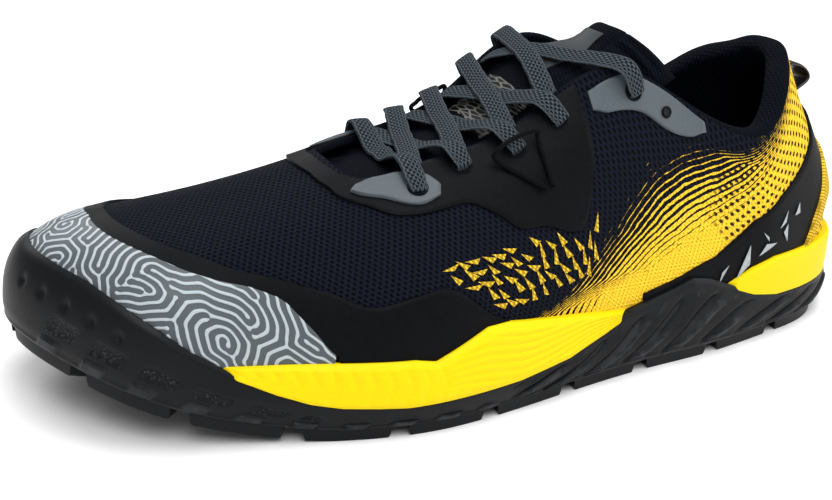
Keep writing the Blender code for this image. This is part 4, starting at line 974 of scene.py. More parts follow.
class Piece:
    """Mesh under construction with its weave coordinates.

    Attributes:
        shift: Step from the loft's frame to the part's, the same for every piece.
    """

    shift: ClassVar[Vector] = Vector((0.0, 0.0, 0.0))

    def __init__(self, name: str) -> None:
        """Starts an empty mesh.

        Args:
            name: Object name.
        """
        self.name = name
        self.points: list[Array] = []
        self.faces: list[Array] = []
        self.values: dict[str, list[Array]] = {}
        self.slots: list[Array] = []
        self.count = 0

    def grid(
        self,
        points: Array,
        closed: bool = False,
        slot: int = 0,
        flip: bool = False,
        **values: Array,
    ) -> None:
        """Adds a sheet of quads.

        Args:
            points: Rows by columns by 3.
            closed: Whether the columns close on themselves.
            slot: Material slot of the faces.
            flip: Whether the faces turn round.
            **values: Attribute values, rows by columns.
        """
        rows, columns = points.shape[:2]
        index = self.count + np.arange(rows * columns).reshape(rows, columns)
        here = index if not closed else np.concatenate([index, index[:, :1]], axis=1)
        quads = np.stack([here[:-1, :-1], here[:-1, 1:], here[1:, 1:], here[1:, :-1]], axis=-1)
        quads = quads.reshape(-1, 4)
        self.faces.append(quads[:, ::-1] if flip else quads)
        self.slots.append(np.full(len(quads), slot))
        flat = points.reshape(-1, 3)
        self.points.append(flat)
        angle = np.arctan2(flat[:, 2] - WEAVE_AXIS_HEIGHT, flat[:, 1])
        standard = {"weave_a": flat[:, 0] - WEAVE_LEAN * flat[:, 2], "weave_q": angle * WEAVE_RADIUS}
        for key, value in {**standard, **values}.items():
            before = [np.zeros(self.count)] if key not in self.values and self.count else []
            self.values.setdefault(key, before).append(np.asarray(value, dtype=float).reshape(-1))
        self.count += len(flat)
        for key, parts in self.values.items():
            short = self.count - sum(len(part) for part in parts)
            if short:
                parts.append(np.zeros(short))

    def build(
        self,
        materials: Sequence[Material],
        slot: Finish,
        *nodes: str,
        sharp: float = 60.0,
        weld: bool = True,
    ) -> bpy.types.Object:
        """Makes the object, puts it in the frame and ties it to its nodes.

        Args:
            materials: Materials in slot order.
            slot: Record slot of its finish.
            *nodes: CAD nodes that it stands for.
            sharp: Angle above which edges stay sharp.
            weld: Whether points that meet are joined.

        Returns:
            The object.
        """
        data = bpy.data.meshes.new(self.name)
        faces = np.concatenate(self.faces)
        data.from_pydata(np.concatenate(self.points).tolist(), [], faces.tolist())
        for key, parts in self.values.items():
            layer = data.attributes.new(key, "FLOAT", "POINT")
            layer.data.foreach_set("value", np.concatenate(parts).astype(np.float32))
        for material in materials:
            data.materials.append(material)
        data.polygons.foreach_set("material_index", np.concatenate(self.slots).astype(np.int32))
        if weld:
            mesh = bmesh.new()
            mesh.from_mesh(data)
            bmesh.ops.remove_doubles(mesh, verts=mesh.verts[:], dist=0.000004)
            mesh.to_mesh(data)
            mesh.free()
        data.update()
        data.shade_smooth()
        data.set_sharp_from_angle(angle=math.radians(sharp))
        made = bpy.data.objects.new(self.name, data)
        bpy.context.scene.collection.objects.link(made)
        data.transform(Matrix.Translation(self.shift))
        data.update()
        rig.ride(made, "root")
        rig.slot(made, slot.value)
        if nodes:
            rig.replaces(made, *nodes)
        LOG.info("%s: %d points, for %s", self.name, self.count, ", ".join(nodes) or "no node")
        return made


def shell(piece: Piece, outer: Array, inner: Array, **values: Array) -> None:
    """Adds a thin closed shell between two sheets, with rounded edges.

    Args:
        piece: Mesh to add to.
        outer: Outer sheet, rows by columns by 3.
        inner: Inner sheet of the same shape.
        **values: Attribute values of the outer sheet.
    """
    piece.grid(outer, **values)
    piece.grid(inner, flip=True, **values)
    for edge, flip in ((np.s_[0], True), (np.s_[-1], False), (np.s_[:, 0], False), (np.s_[:, -1], True)):
        rim = np.stack([inner[edge], outer[edge]])
        extra = {key: np.stack([value[edge]] * 2) for key, value in values.items()}
        piece.grid(rim, flip=not flip, **extra)


def rib_shares(last: Last) -> Array:
    """Share of the way round of every rib, 0 at the toe tip and 0.5 at the heel."""
    index = np.arange(last.ribs)
    return np.minimum(index, last.ribs - index) / last.ribs


def window(value: Array, low: float, high: float, soft: float) -> Array:
    """1 between two limits and 0 outside, with soft ends."""
    rise = np.clip((value - low) / soft, 0, 1)
    fall = np.clip((high - value) / soft, 0, 1)
    return np.minimum(rise, fall)


def normals_at(last: Last, places: Array, run: Array) -> Array:
    """Outward normals at fractional places and runs."""
    return unit(last.between(places, run, 0.001) - last.between(places, run, 0.0))


def add_plate(piece: Piece, ring: Array, flip: bool) -> None:
    """Closes a ring with rungs that run across from side to side."""
    piece.grid(rungs(ring, 9), flip=flip)


def rungs(ring: Array, count: int) -> Array:
    """Rungs that run across a ring from side to side."""
    half = len(ring) // 2
    right, left = ring[: half + 1], np.concatenate([ring[:1], ring[: half - 1 : -1]])
    share = np.linspace(0, 1, count)[:, None, None]
    return right[None] * (1 - share) + left[None] * share


def field_of(share: Array, run: Array) -> Array:
    """How far a point of the knit lies behind the line where it turns amber, in widths."""
    line = np.array(FADE_LINE)
    return (np.abs(share) - np.interp(run, line[:, 0], line[:, 1])) / FADE_WIDTH


def dotted_share(share: Array, run: Array) -> Array:
    """Weight of the large dots of the knit at the back."""
    line = np.interp(run, (0.0, 0.28, 0.5, 0.72, 0.9, 1.0), (0.4, 0.378, 0.356, 0.362, 0.385, 0.4))
    return np.clip((share - line) / 0.008, 0, 1)


@dataclass
class Upper:
    """Knit outside, rounded rim and padded lining.

    Attributes:
        rows: Steps up the outside.
        rim_rows: Steps over the rim.
        lining_rows: Steps down the inside.
        heel_rise: Rise of the collar at the heel.
        inner_rise: Rise of the collar at the inner ankle.
    """

    last: Last
    rows: int = 72
    rim_rows: int = 8
    lining_rows: int = 36
    heel_rise: float = 0.003
    inner_rise: float = 0.0016

    def collar_lift(self, share: Array, run: Array) -> Array:
        """Small rise of the collar at the heel and on the inner side, as the photograph shows.

        Args:
            share: Signed share of the way round.
            run: Share of the run.

        Returns:
            The rise at every rib.
        """
        heel = np.exp(-(((0.5 - np.abs(share)) / 0.028) ** 4)) * self.heel_rise
        inner = np.exp(-(((share + 0.4) / 0.045) ** 4)) * self.inner_rise
        reach = np.clip((run - 0.8) / 0.2, 0, 1) ** 1.5
        lift = np.zeros((len(share), 3))
        lift[:, 2] = (heel + inner) * reach
        return lift

    def add_outside(self, piece: Piece, start: Array, share: Array) -> None:
        """Adds the knit with its fade and its dots.

        Args:
            piece: Mesh to add to.
            start: Run at which each rib starts.
            share: Signed share of the way round.
        """
        runs = np.stack([start + (1 - start) * step / self.rows for step in range(self.rows + 1)])
        outer = np.stack([self.last.at(run) + self.collar_lift(share, run) for run in runs])
        piece.grid(
            outer,
            closed=True,
            fade=np.stack([field_of(share, run) for run in runs]),
            dotted=np.stack([dotted_share(np.abs(share), run) for run in runs]),
            dot_a=0 * runs + share * DOT_SPANS[0],
            dot_q=runs * DOT_SPANS[1],
        )

    def add_rim(self, piece: Piece, share: Array) -> None:
        """Adds the rounded rim in two halves.

        Args:
            piece: Mesh to add to.
            share: Signed share of the way round.
        """
        last = self.last
        wall = UPPER_WALL + last.pad
        back = unit(last.points[:, -1] - last.points[:, -4])
        edge, normal = last.at(1.0), unit(last.at(1.0, 0.001) - last.at(1.0))
        rim = []
        for turn in (math.pi * step / self.rim_rows for step in range(self.rim_rows + 1)):
            rise = back * (wall * RIM_ROUND * math.sin(turn))[:, None]
            rim.append(edge - normal * (wall / 2 * (1 - math.cos(turn)))[:, None] + rise)
        rim = np.stack(rim) + self.collar_lift(share, np.ones(last.ribs))
        half = self.rim_rows // 2
        piece.grid(rim[: half + 1], closed=True, slot=1)
        piece.grid(rim[half:], closed=True, slot=1)

    def add_lining(self, piece: Piece, start: Array, share: Array) -> None:
        """Adds the padded inside.

        Args:
            piece: Mesh to add to.
            start: Run at which each rib starts.
            share: Signed share of the way round.
        """
        rows = []
        for step in range(self.lining_rows + 1):
            run = 1 + (start - 1) * step / self.lining_rows
            swell = np.clip((run - PAD_START) / (1 - PAD_START), 0, 1) ** 1.5
            inside = self.last.at(run, -UPPER_WALL - self.last.pad * swell)
            rows.append(inside + self.collar_lift(share, run))
        piece.grid(np.stack(rows), closed=True, slot=1)

    def build(self, knit: Material, lining: Material) -> None:
        """Makes the upper.

        Args:
            knit: Material of the outside.
            lining: Material of the rim and the lining.
        """
        last = self.last
        start = last.run_at_height(last.foot[:, 2] + GAP)
        share = np.where(np.arange(last.ribs) <= last.ribs // 2, 1, -1) * rib_shares(last)
        piece = Piece("knit_upper")
        self.add_outside(piece, start, share)
        self.add_rim(piece, share)
        self.add_lining(piece, start, share)
        piece.build((knit, lining), Finish.KNIT, "upper", sharp=70)


@dataclass(frozen=True)
class Band:
    """Overlay on the upper between two lines.

    Attributes:
        nodes: CAD nodes that it stands for.
        first: Share of the way round where it starts.
        final: Share where it ends.
        low: Gives the run of its lower line at signed shares.
        high: Gives the run of its upper line.
        surface: Name of its material.
        slot: Record slot of its finish.
        stacked: Overlays that lie under it.
        fineness: Steps in a whole turn of the shoe.
        rows: Steps from its lower to its upper line.
        unrolled: Whether its weave runs round the heel instead of along the shoe.
    """

    name: str
    nodes: tuple[str, ...]
    first: float
    final: float
    low: Line
    high: Line
    surface: str
    slot: Finish
    stacked: int = 0
    fineness: int = 700
    rows: int = 26
    unrolled: bool = False


@dataclass(frozen=True)
class Labyrinth:
    """Field whose crests wander at an even distance, for the lines of the toe cap.

    Attributes:
        step: Size of a cell.
        cells: Cells along and across.
        period: Distance between two crests.
        rounds: Steps in which the field settles.
    """

    step: float = 0.00035
    cells: tuple[int, int] = (384, 512)
    period: float = 0.00235
    rounds: int = 90
    seed: int = SEED

    def field(self) -> Array:
        """Settles the field, which repeats at its ends.

        Returns:
            Heights between about -1 and 1.
        """
        height = np.random.default_rng(self.seed).normal(0.0, 0.3, self.cells)
        along, across = (np.fft.fftfreq(count, self.step) * self.period for count in self.cells)
        gain = 0.5 - (1 - along[:, None] ** 2 - across[None, :] ** 2) ** 2
        for _ in range(self.rounds):
            height = np.fft.ifft2(np.fft.fft2(height - height**3) / (1 - gain)).real
        return height / (np.sqrt(2) * height.std())

    def sampled(self, height: Array, points: Array) -> Array:
        """Reads the labyrinth at places of the toe cap.

        Args:
            height: The repeating field.
            points: Points in metres.

        Returns:
            Its heights there.
        """
        angle = np.arctan2(points[..., 2] - WEAVE_AXIS_HEIGHT, points[..., 1])
        along = points[..., 0] - WEAVE_LEAN * points[..., 2]
        places = (along / self.step, angle * WEAVE_RADIUS / self.step)
        low = [np.floor(place).astype(int) for place in places]
        part = [place - floor for place, floor in zip(places, low)]
        found = np.zeros(angle.shape)
        for i, j in itertools.product((0, 1), (0, 1)):
            weight = (part[0] if i else 1 - part[0]) * (part[1] if j else 1 - part[1])
            found += weight * height[(low[0] + i) % self.cells[0], (low[1] + j) % self.cells[1]]
        return found


@dataclass
class Overlays:
    """Toe cap, films, patches and counter on both sides of the upper.

    Attributes:
        edge: Share of the thickness that its edges keep.
        softness: Share of the way round over which its corners round off.
        line_height: Height of the cap's raised lines.
    """

    last: Last
    thickness: float = OVERLAY_THICKNESS
    edge: float = 0.55
    softness: float = 0.005
    line_height: float = 0.0003

    def sole(self, shares: Array) -> Array:
        """Run just under the top of the sole."""
        return sole_line(self.last, shares * self.last.ribs) - SOLE_LINE_STEP * 1.4

    def line(self, pairs: Pairs) -> Line:
        """Line through pairs of shares, with softened corners."""
        offsets = np.linspace(-self.softness, self.softness, 9)
        return lambda shares: np.mean([table(pairs, np.abs(shares) + offset) for offset in offsets], axis=0)

    def film_low(self, shares: Array) -> Array:
        """Lower line of the forefoot's film, behind the toe cap and then along the sole."""
        under_cap = np.maximum(self.line(TOE_CAP_REAR)(shares) - 0.004, self.sole(shares))
        return np.where(np.abs(shares) < 0.1535, under_cap, self.sole(shares))

    def counter_low(self, shares: Array) -> Array:
        """Lower line of the heel counter."""
        return np.maximum(table(COUNTER_LOW, 0.5 - np.abs(shares - 0.5)), self.sole(shares))

    def above_counter(self, pairs: Pairs, least: float) -> Line:
        """Line over the heel, at least a step above the counter's lower line."""
        return lambda shares: np.maximum(
            table(pairs, 0.5 - np.abs(shares - 0.5)), self.counter_low(shares) + least
        )

    def bands(self) -> list[Band]:
        """Lists the overlays in their order.

        Returns:
            The bands.
        """
        grey, black, knit = Finish.GREY_FILM, Finish.BLACK_FILM, Finish.KNIT
        cap, vamp = self.line(TOE_CAP_REAR), self.line(FILM_REAR)
        heel, patch = self.above_counter(COUNTER_HIGH, 0.03), self.above_counter(HEEL_PATCH_TOP, 0.004)
        stay, stay_top = self.line(EYESTAY_LOW), self.line(((0.0, EYESTAY_HIGH), (0.5, EYESTAY_HIGH)))
        found = [
            Band("toe_cap_film", ("toe_cap",), -0.152, 0.152, self.sole, cap, "cap", grey, 0, 1400, 84),
            Band("vamp_film", ("forefoot_film",), -0.236, 0.236, self.film_low, vamp, "film", black),
            Band("eyestay_film", ("eyestay",), -0.29, 0.29, stay, stay_top, "film", black),
            Band("heel_film", ("heel_counter",), 0.318, 0.682, self.counter_low, heel, "film", black),
            Band("heel_patch", (), 0.43, 0.57, self.counter_low, patch, "amber", knit, 1, unrolled=True),
        ]
        patches = (
            ("front", 0.126, 0.196, FRONT_PATCH_LOW, FRONT_PATCH_HIGH, 1),
            ("top", 0.2955, 0.362, TOP_PATCH_LOW, TOP_PATCH_HIGH, 0),
        )
        for (side, way), (end, first, final, low, high, stacked) in itertools.product(SIDES, patches):
            low, high = self.line(low), self.line(high)
            name, node = f"{end}_film_{side}", f"{end}_patch_{side}"
            found.append(Band(name, (node,), first * way, final * way, low, high, "patch", grey, stacked))
        return found

    def build_band(self, band: Band, surfaces: Surfaces) -> None:
        """Makes an overlay as a thin shell with softened edges.

        Args:
            band: Its lines.
            surfaces: Materials by name.
        """
        last = self.last
        columns = max(24, int(abs(band.final - band.first) * band.fineness))
        shares = np.linspace(band.first, band.final, columns + 1)
        places = shares * last.ribs
        low, high = band.low(shares), band.high(shares)
        base = OVERLAY_CLEARANCE * 0.4 + band.stacked * (self.thickness + GAP)
        steps = np.linspace(0, 1, band.rows + 1)
        taper = np.ones(columns + 1)
        taper[[0, -1]] = self.edge
        outer, inner = [], []
        for step in steps:
            run = low + (high - low) * step
            eased = min(min(step, 1 - step) * band.rows, 1)
            thickness = self.thickness * (self.edge + (1 - self.edge) * eased)
            inner.append(last.between(places, run, 0.0))
            outer.append(inner[-1] + normals_at(last, places, run) * (base + thickness * taper)[:, None])
        outer, inner, values = np.stack(outer), np.stack(inner), {}
        if band.surface == "cap":
            maze = Labyrinth()
            values["maze"] = maze.sampled(maze.field(), outer)
            raised = np.clip(values["maze"] - MAZE_LINE, 0, 1) * self.line_height
            outer = outer + unit(outer - inner) * raised[:, :, None]
        if band.unrolled:
            runs = low + (high - low) * steps[:, None]
            values = {"weave_a": shares * DOT_SPANS[0] + 0 * runs, "weave_q": runs * DOT_SPANS[1]}
        piece = Piece(band.name)
        shell(piece, outer, inner, **values)
        piece.build((surfaces[band.surface],), band.slot, *band.nodes, sharp=50)

    def build(self, surfaces: Surfaces) -> None:
        """Makes every overlay."""
        for band in self.bands():
            self.build_band(band, surfaces)


@dataclass
class Prints:
    """Amber and black shards along the fade, and grey ones on the heel counter.

    Attributes:
        area: Box of shares that the shards fill.
        cells: Cells round and along the run, one shard in each.
        size: Reach of a shard as shares.
        turns: Way the shards point at the front and the back of the box.
        lift: Height of the print over the knit.
        steps: Steps of a shard's sheets.
    """

    last: Last
    area: tuple[float, float, float, float] = (0.2, 0.288, 0.18, 0.51)
    cells: tuple[int, int] = (13, 7)
    size: Pair = (0.005, 0.04)
    turns: Pair = (3.05, 1.75)
    lift: float = 0.00018
    steps: int = 5
    seed: int = SEED

    def point(self, share: float, run: float, rise: float) -> Array:
        """Point a height over the upper."""
        place = np.array([share * self.last.ribs])
        return (self.last.between(place, run, 0.0) + normals_at(self.last, place, run) * rise)[0]

    def add_shape(self, piece: Piece, corners: Array, way: int, rise: float, slot: int = 0) -> None:
        """Adds a flat printed shape with straight edges that follows the upper.

        Args:
            piece: Mesh to add to.
            corners: Shares round and along the run.
            way: 1 on the outer side, -1 on the inner.
            rise: Height over the knit.
            slot: Material slot.
        """
        steps, centre = self.steps, corners.mean(axis=0)
        for first, second in zip(corners, np.roll(corners, -1, axis=0)):
            sheet = np.zeros((steps + 1, steps + 1, 3))
            for i, j in itertools.product(range(steps + 1), repeat=2):
                edge = first + (second - first) * j / steps
                share, run = centre + (edge - centre) * i / steps
                sheet[i, j] = self.point(share * way, min(run, 0.995), rise)
            piece.grid(sheet, slot=slot, flip=way < 0)

    def shard_corners(self, rng: np.random.Generator, share: float, run: float) -> Array:
        """Corners of one slim printed shard."""
        turn = np.interp(share, self.area[:2], self.turns) + rng.uniform(-0.4, 0.4)
        angles = turn + np.array((0.0, 2.45, 3.35))
        reach = np.array((rng.uniform(0.85, 1.15), rng.uniform(0.45, 0.7), rng.uniform(0.65, 0.95)))
        long, tall = self.size
        return np.column_stack((share + long * reach * np.cos(angles), run + tall * reach * np.sin(angles)))

    def add_shards(self, piece: Piece, way: int, rng: np.random.Generator) -> None:
        """Adds the shards of one side, amber before the fade and black behind it.

        Args:
            piece: Mesh to add to.
            way: 1 on the outer side, -1 on the inner.
            rng: Seeded numbers.
        """
        left, right, low, high = self.area
        columns, rows = self.cells
        for column, row in itertools.product(range(columns), range(rows)):
            share = left + (right - left) * (column + 0.5 * (row % 2) + rng.uniform(0.3, 0.7)) / columns
            run = low + (high - low) * (row + rng.uniform(0.35, 0.65)) / rows
            corners = self.shard_corners(rng, share, run)
            behind = field_of(corners[:, 0], corners[:, 1])
            front = table(FILM_REAR, corners[:, 0]) + 0.012
            stay = table(EYESTAY_LOW, corners[:, 0]) - 0.012
            clear = np.all(corners[:, 1] > front) and np.all(corners[:, 1] < np.minimum(stay, high))
            if clear and behind.max() < 0.3:
                self.add_shape(piece, corners, way, self.lift)
            elif clear and behind.min() > 0.05 and behind.max() < 1.1:
                self.add_shape(piece, corners, way, self.lift, slot=1)

    def build(self, surfaces: Surfaces) -> None:
        """Makes the prints of both sides.

        Args:
            surfaces: Materials by name.
        """
        rng = np.random.default_rng(self.seed)
        shards, greys = Piece("amber_shards"), Piece("counter_shards")
        over_film = OVERLAY_CLEARANCE + OVERLAY_THICKNESS + 0.0001
        for _, way in SIDES:
            self.add_shards(shards, way, rng)
            for corners in COUNTER_SHARDS:
                self.add_shape(greys, np.array(corners), way, over_film)
        shards.build((surfaces["amber"], surfaces["film"]), Finish.KNIT, weld=False)
        greys.build((surfaces["shard"],), Finish.GREY_FILM, weld=False)


@dataclass
class Outsole:
    """Rubber cup with a toe bumper, rim lugs and chevrons.

    Attributes:
        lug_share: Share of the rim's pitch that a lug fills.
        lip: Depth by which the top edge rounds in.
        groove: Depth of the slanted grooves.
        bar: Height of the bars between them.
        facet: Rise of the face from one groove to the next.
        patch: Depth of the pebbled patches.
        pit: Depth of the pits on the bumper.
        foot: Height of the low edge.
    """

    last: Last
    steps: int = 32
    lug_share: float = 0.84
    lip: float = 0.0007
    groove: float = 0.0012
    bar: float = 0.0008
    facet: float = 0.0009
    patch: float = 0.0005
    pit: float = 0.0009
    foot: float = 0.0005

    def relief(self, share: Array, height: float) -> tuple[Array, Array, Array]:
        """Grooves, bars, pits and patches on the rubber's side.

        Args:
            share: Share of the way round.
            height: Share of the side's height.

        Returns:
            Relief in metres, weight of the pebbles and weight of the painted highlight on the raised bars.
        """
        cell = (share - 0.24) / 0.0245 - height * 1.9
        turn, number = np.mod(cell, 1.0), np.floor(cell)
        rear = window(share, 0.235, 0.494, 0.012) * window(height, 0.03, 0.86, 0.14)
        groove = -self.groove * np.exp(-(((turn - 0.5) / 0.06) ** 2))
        top = np.where(np.mod(number, 2) == 0, 0.44, 0.7)
        within = np.clip((top - height) / 0.05, 0, 1) * np.clip((height - 0.12) / 0.05, 0, 1)
        bar = window(turn, 0.64, 0.92, 0.05) * within
        relief = rear * (groove + self.bar * bar + self.facet * (turn - 0.5))
        front_cell = share / 0.0215 - height * 0.9
        front_turn = np.mod(front_cell, 1.0)
        fore = window(share, 0.018, 0.232, 0.008)
        low_bar = fore * window(front_turn, 0.14, 0.66, 0.06) * window(height, 0.04, 0.24, 0.04)
        patch = window(share, 0.03, 0.15, 0.006) * window(front_turn, 0.1, 0.8, 0.05)
        patch = patch * window(height, 0.32, 0.54, 0.04)
        pit_turn = np.mod(share / 0.0125 + 0.3, 1.0) - 0.5
        pit = window(share, 0.004, 0.075, 0.004) * np.exp(-((pit_turn / 0.13) ** 2))
        pit = pit * np.exp(-(((height - 0.7) / 0.05) ** 2))
        relief = relief + self.bar * low_bar - self.patch * patch - self.pit * pit
        # The third value weights the painted highlight on the raised bars.
        return relief + self.foot * window(height, 0.0, 0.1, 0.05), patch, 0.8 * (rear * bar + low_bar)

    def rim_lugs(self) -> list[Array]:
        """Plan outlines of the lugs round the rim, as in the CAD.

        Returns:
            One outline for each lug.
        """
        last = self.last
        scale = last.ribs / RIBS
        outlines = []
        for k in range(EDGE_LUGS):
            first = (k + 0.5 - self.lug_share / 2) * last.ribs / EDGE_LUGS
            final = (k + 0.5 + self.lug_share / 2) * last.ribs / EDGE_LUGS
            places = np.linspace(first, final, 14)
            way = 1 if k < EDGE_LUGS / 2 else -1
            outside = tread_point(last, places, 0.0002)
            inside = tread_point(last, places + EDGE_LUG_SLANT * scale * way, EDGE_LUG_DEPTH)
            outlines.append(np.vstack([outside, inside[::-1][[0, 13]]]))
        return outlines

    @staticmethod
    def chevrons() -> list[Array]:
        """Plan outlines of the chevrons down the middle, as in the CAD.

        Returns:
            One outline for each lug.
        """
        outlines = []
        for x, y, half, long, way in CENTRE_LUGS:
            x, y, half, long = x * LENGTH, y * BALL_WIDTH, half * BALL_WIDTH, long * LENGTH
            back, thick = long * way, long * 0.9 * way
            rear = -back - thick
            shape = ((0, 0), (-back, -half), (rear, -half), (-thick, 0), (rear, half), (-back, half))
            outlines.append(np.array([(x + dx, y + dy) for dx, dy in shape]))
        return outlines

    @staticmethod
    def add_lug(piece: Piece, outline: Array) -> None:
        """Adds one lug with drafted walls and an eased ground edge.

        Args:
            piece: Mesh to add to.
            outline: Its plan outline at the plate.
        """
        centre = outline.mean(axis=0)
        rings = []
        rows = ((1.0, LUG_HEIGHT + 0.0012), (0.97, 0.0014), (0.94, 0.0003), (0.91, 0.0), (0.0, 0.0))
        for scale, height in rows:
            foot = centre + (outline - centre) * scale
            rings.append(np.column_stack([foot, ground_lift(foot[:, 0]) + height]))
        piece.grid(np.stack(rings), closed=True, flip=True)

    def build(self, rubber: Material) -> None:
        """Makes the outsole.

        Args:
            rubber: Its material.
        """
        last, share = self.last, rib_shares(self.last)
        low, top = last.lift + LUG_HEIGHT, last.outsole_top
        under = last.side(low - 0.0002, last.cover(low) - 0.004)
        none = np.zeros(last.ribs)
        rows, pebbles, bar_highlights = [under], [none], [none]
        for part in (step / self.steps for step in range(self.steps + 1)):
            height = low + (top - low) * part
            lip = self.lip * np.clip((part - 0.9) / 0.1, 0, 1) ** 2
            relief, pebble, bar_highlight = self.relief(share, part)
            rows.append(last.side(height, last.cover(height) + relief - lip))
            pebbles.append(pebble)
            bar_highlights.append(bar_highlight)
        shown = last.midsole_top > top + 0.0015
        layer = np.any([np.roll(shown, step) for step in range(-2, 3)], axis=0)
        inner = np.where(layer, MIDSOLE_WALL, 0.0)
        plate = low + OUTSOLE_PLATE
        turn = np.minimum(last.foot[:, 2], top - 0.35 * (top - plate))
        rows += [last.side(top, inner), last.side(turn, inner)]
        piece = Piece("rubber_outsole")
        # The second weight places the painted highlight on the raised bars.
        weights = {"pebble": np.stack([*pebbles, none, none]), "bar_highlight": np.stack([*bar_highlights, none, none])}
        piece.grid(np.stack(rows), closed=True, **weights)
        add_plate(piece, under, flip=True)
        for outline in [*self.rim_lugs(), *self.chevrons()]:
            self.add_lug(piece, outline)
        piece.build((rubber,), Finish.RUBBER, "outsole", sharp=32)


@dataclass
class Midsole:
    """Foam wall that shows between the rubber and the knit, and the foam under the foot.

    Attributes:
        ease: Depth by which the top edge rounds in.
        rib: Height of the moulded ribs.
    """

    last: Last
    steps: int = 44
    ease: float = 0.0009
    rib: float = 0.00045

    def relief(self, share: Array, part: float) -> Array:
        """Moulded ribs of the foam's side: upright at the forefoot, level further back.

        Args:
            share: Share of the way round.
            part: Share of the shown height.

        Returns:
            Relief in metres.
        """
        upright = np.abs(np.sin(math.pi * (share * 125 + 0.16 * math.sin(part * 9)))) ** 0.5
        level = np.abs(np.sin(math.pi * (part * 7.5 + 1.1 * np.sin(share * 58)))) ** 0.5
        blend = np.clip((share - 0.196) / 0.02, 0, 1)
        fade = np.clip((0.36 - share) / 0.03, 0, 1)
        relief = (upright * (1 - blend) + level * blend) * fade
        return relief * self.rib * window(np.asarray(part), 0.06, 0.94, 0.08)

    def build(self, foam: Material) -> None:
        """Makes the midsole.

        Args:
            foam: Its material.
        """
        last, share = self.last, rib_shares(self.last)
        top, foot = last.outsole_top, last.foot[:, 2]
        high = np.maximum(last.midsole_top, top)
        shown = np.clip((last.midsole_top - top) / 0.0022, 0, 1)
        behind, base = MIDSOLE_WALL * 0.5, top - 0.0012
        rows = [last.side(np.minimum(foot, top - 0.002), np.full(last.ribs, behind))]
        for part in (step / self.steps for step in range(self.steps + 1)):
            height = base + (high - base) * part
            ease = self.ease * np.clip((part - 0.88) / 0.12, 0, 1) ** 2
            open_cover = last.cover(height) - MIDSOLE_INSET + self.relief(share, part) - ease
            rows.append(last.side(height, behind + (open_cover - behind) * shown))
        rows.append(last.side(high, -0.0006))
        piece = Piece("foam_midsole")
        piece.grid(np.stack(rows), closed=True)
        under = last.side(last.lift + LUG_HEIGHT + OUTSOLE_PLATE, MIDSOLE_WALL)
        add_plate(piece, under, flip=True)
        add_plate(piece, last.side(foot, 0.0), flip=False)
        piece.grid(np.stack([under, rows[0]]), closed=True)
        piece.build((foam,), Finish.FOAM, "midsole", sharp=40)


@dataclass
class Footbed:
    """Cloth covered insole with a rounded edge and a slight hollow.

    Attributes:
        hollow: Depth of its hollow.
    """

    last: Last
    thickness: float = 0.003
    hollow: float = 0.0006

    def build(self, lining: Material) -> None:
        """Makes the footbed.

        Args:
            lining: Material of its cloth.
        """
        inset, top, rings = UPPER_WALL + INSOLE_CLEARANCE, GAP + self.thickness, []
        for rise, inward in ((GAP, 0.0), (top * 0.55, 0.0), (top * 0.8, 0.0003), (top, 0.0012)):
            height = self.last.foot[:, 2] + rise
            ring = self.last.at(self.last.run_at_height(height), -inset - inward)
            ring[:, 2] = height
            rings.append(ring)
        piece = Piece("cloth_footbed")
        piece.grid(np.stack(rings), closed=True)
        add_plate(piece, rings[0], flip=True)
        sheet = rungs(rings[-1], 15)
        sheet[:, :, 2] -= self.hollow * np.sin(math.pi * np.linspace(0, 1, 15)[:, None])
        piece.grid(sheet, weave_a=sheet[:, :, 0], weave_q=sheet[:, :, 1])
        piece.build((lining,), Finish.LINING, "insole", sharp=50)


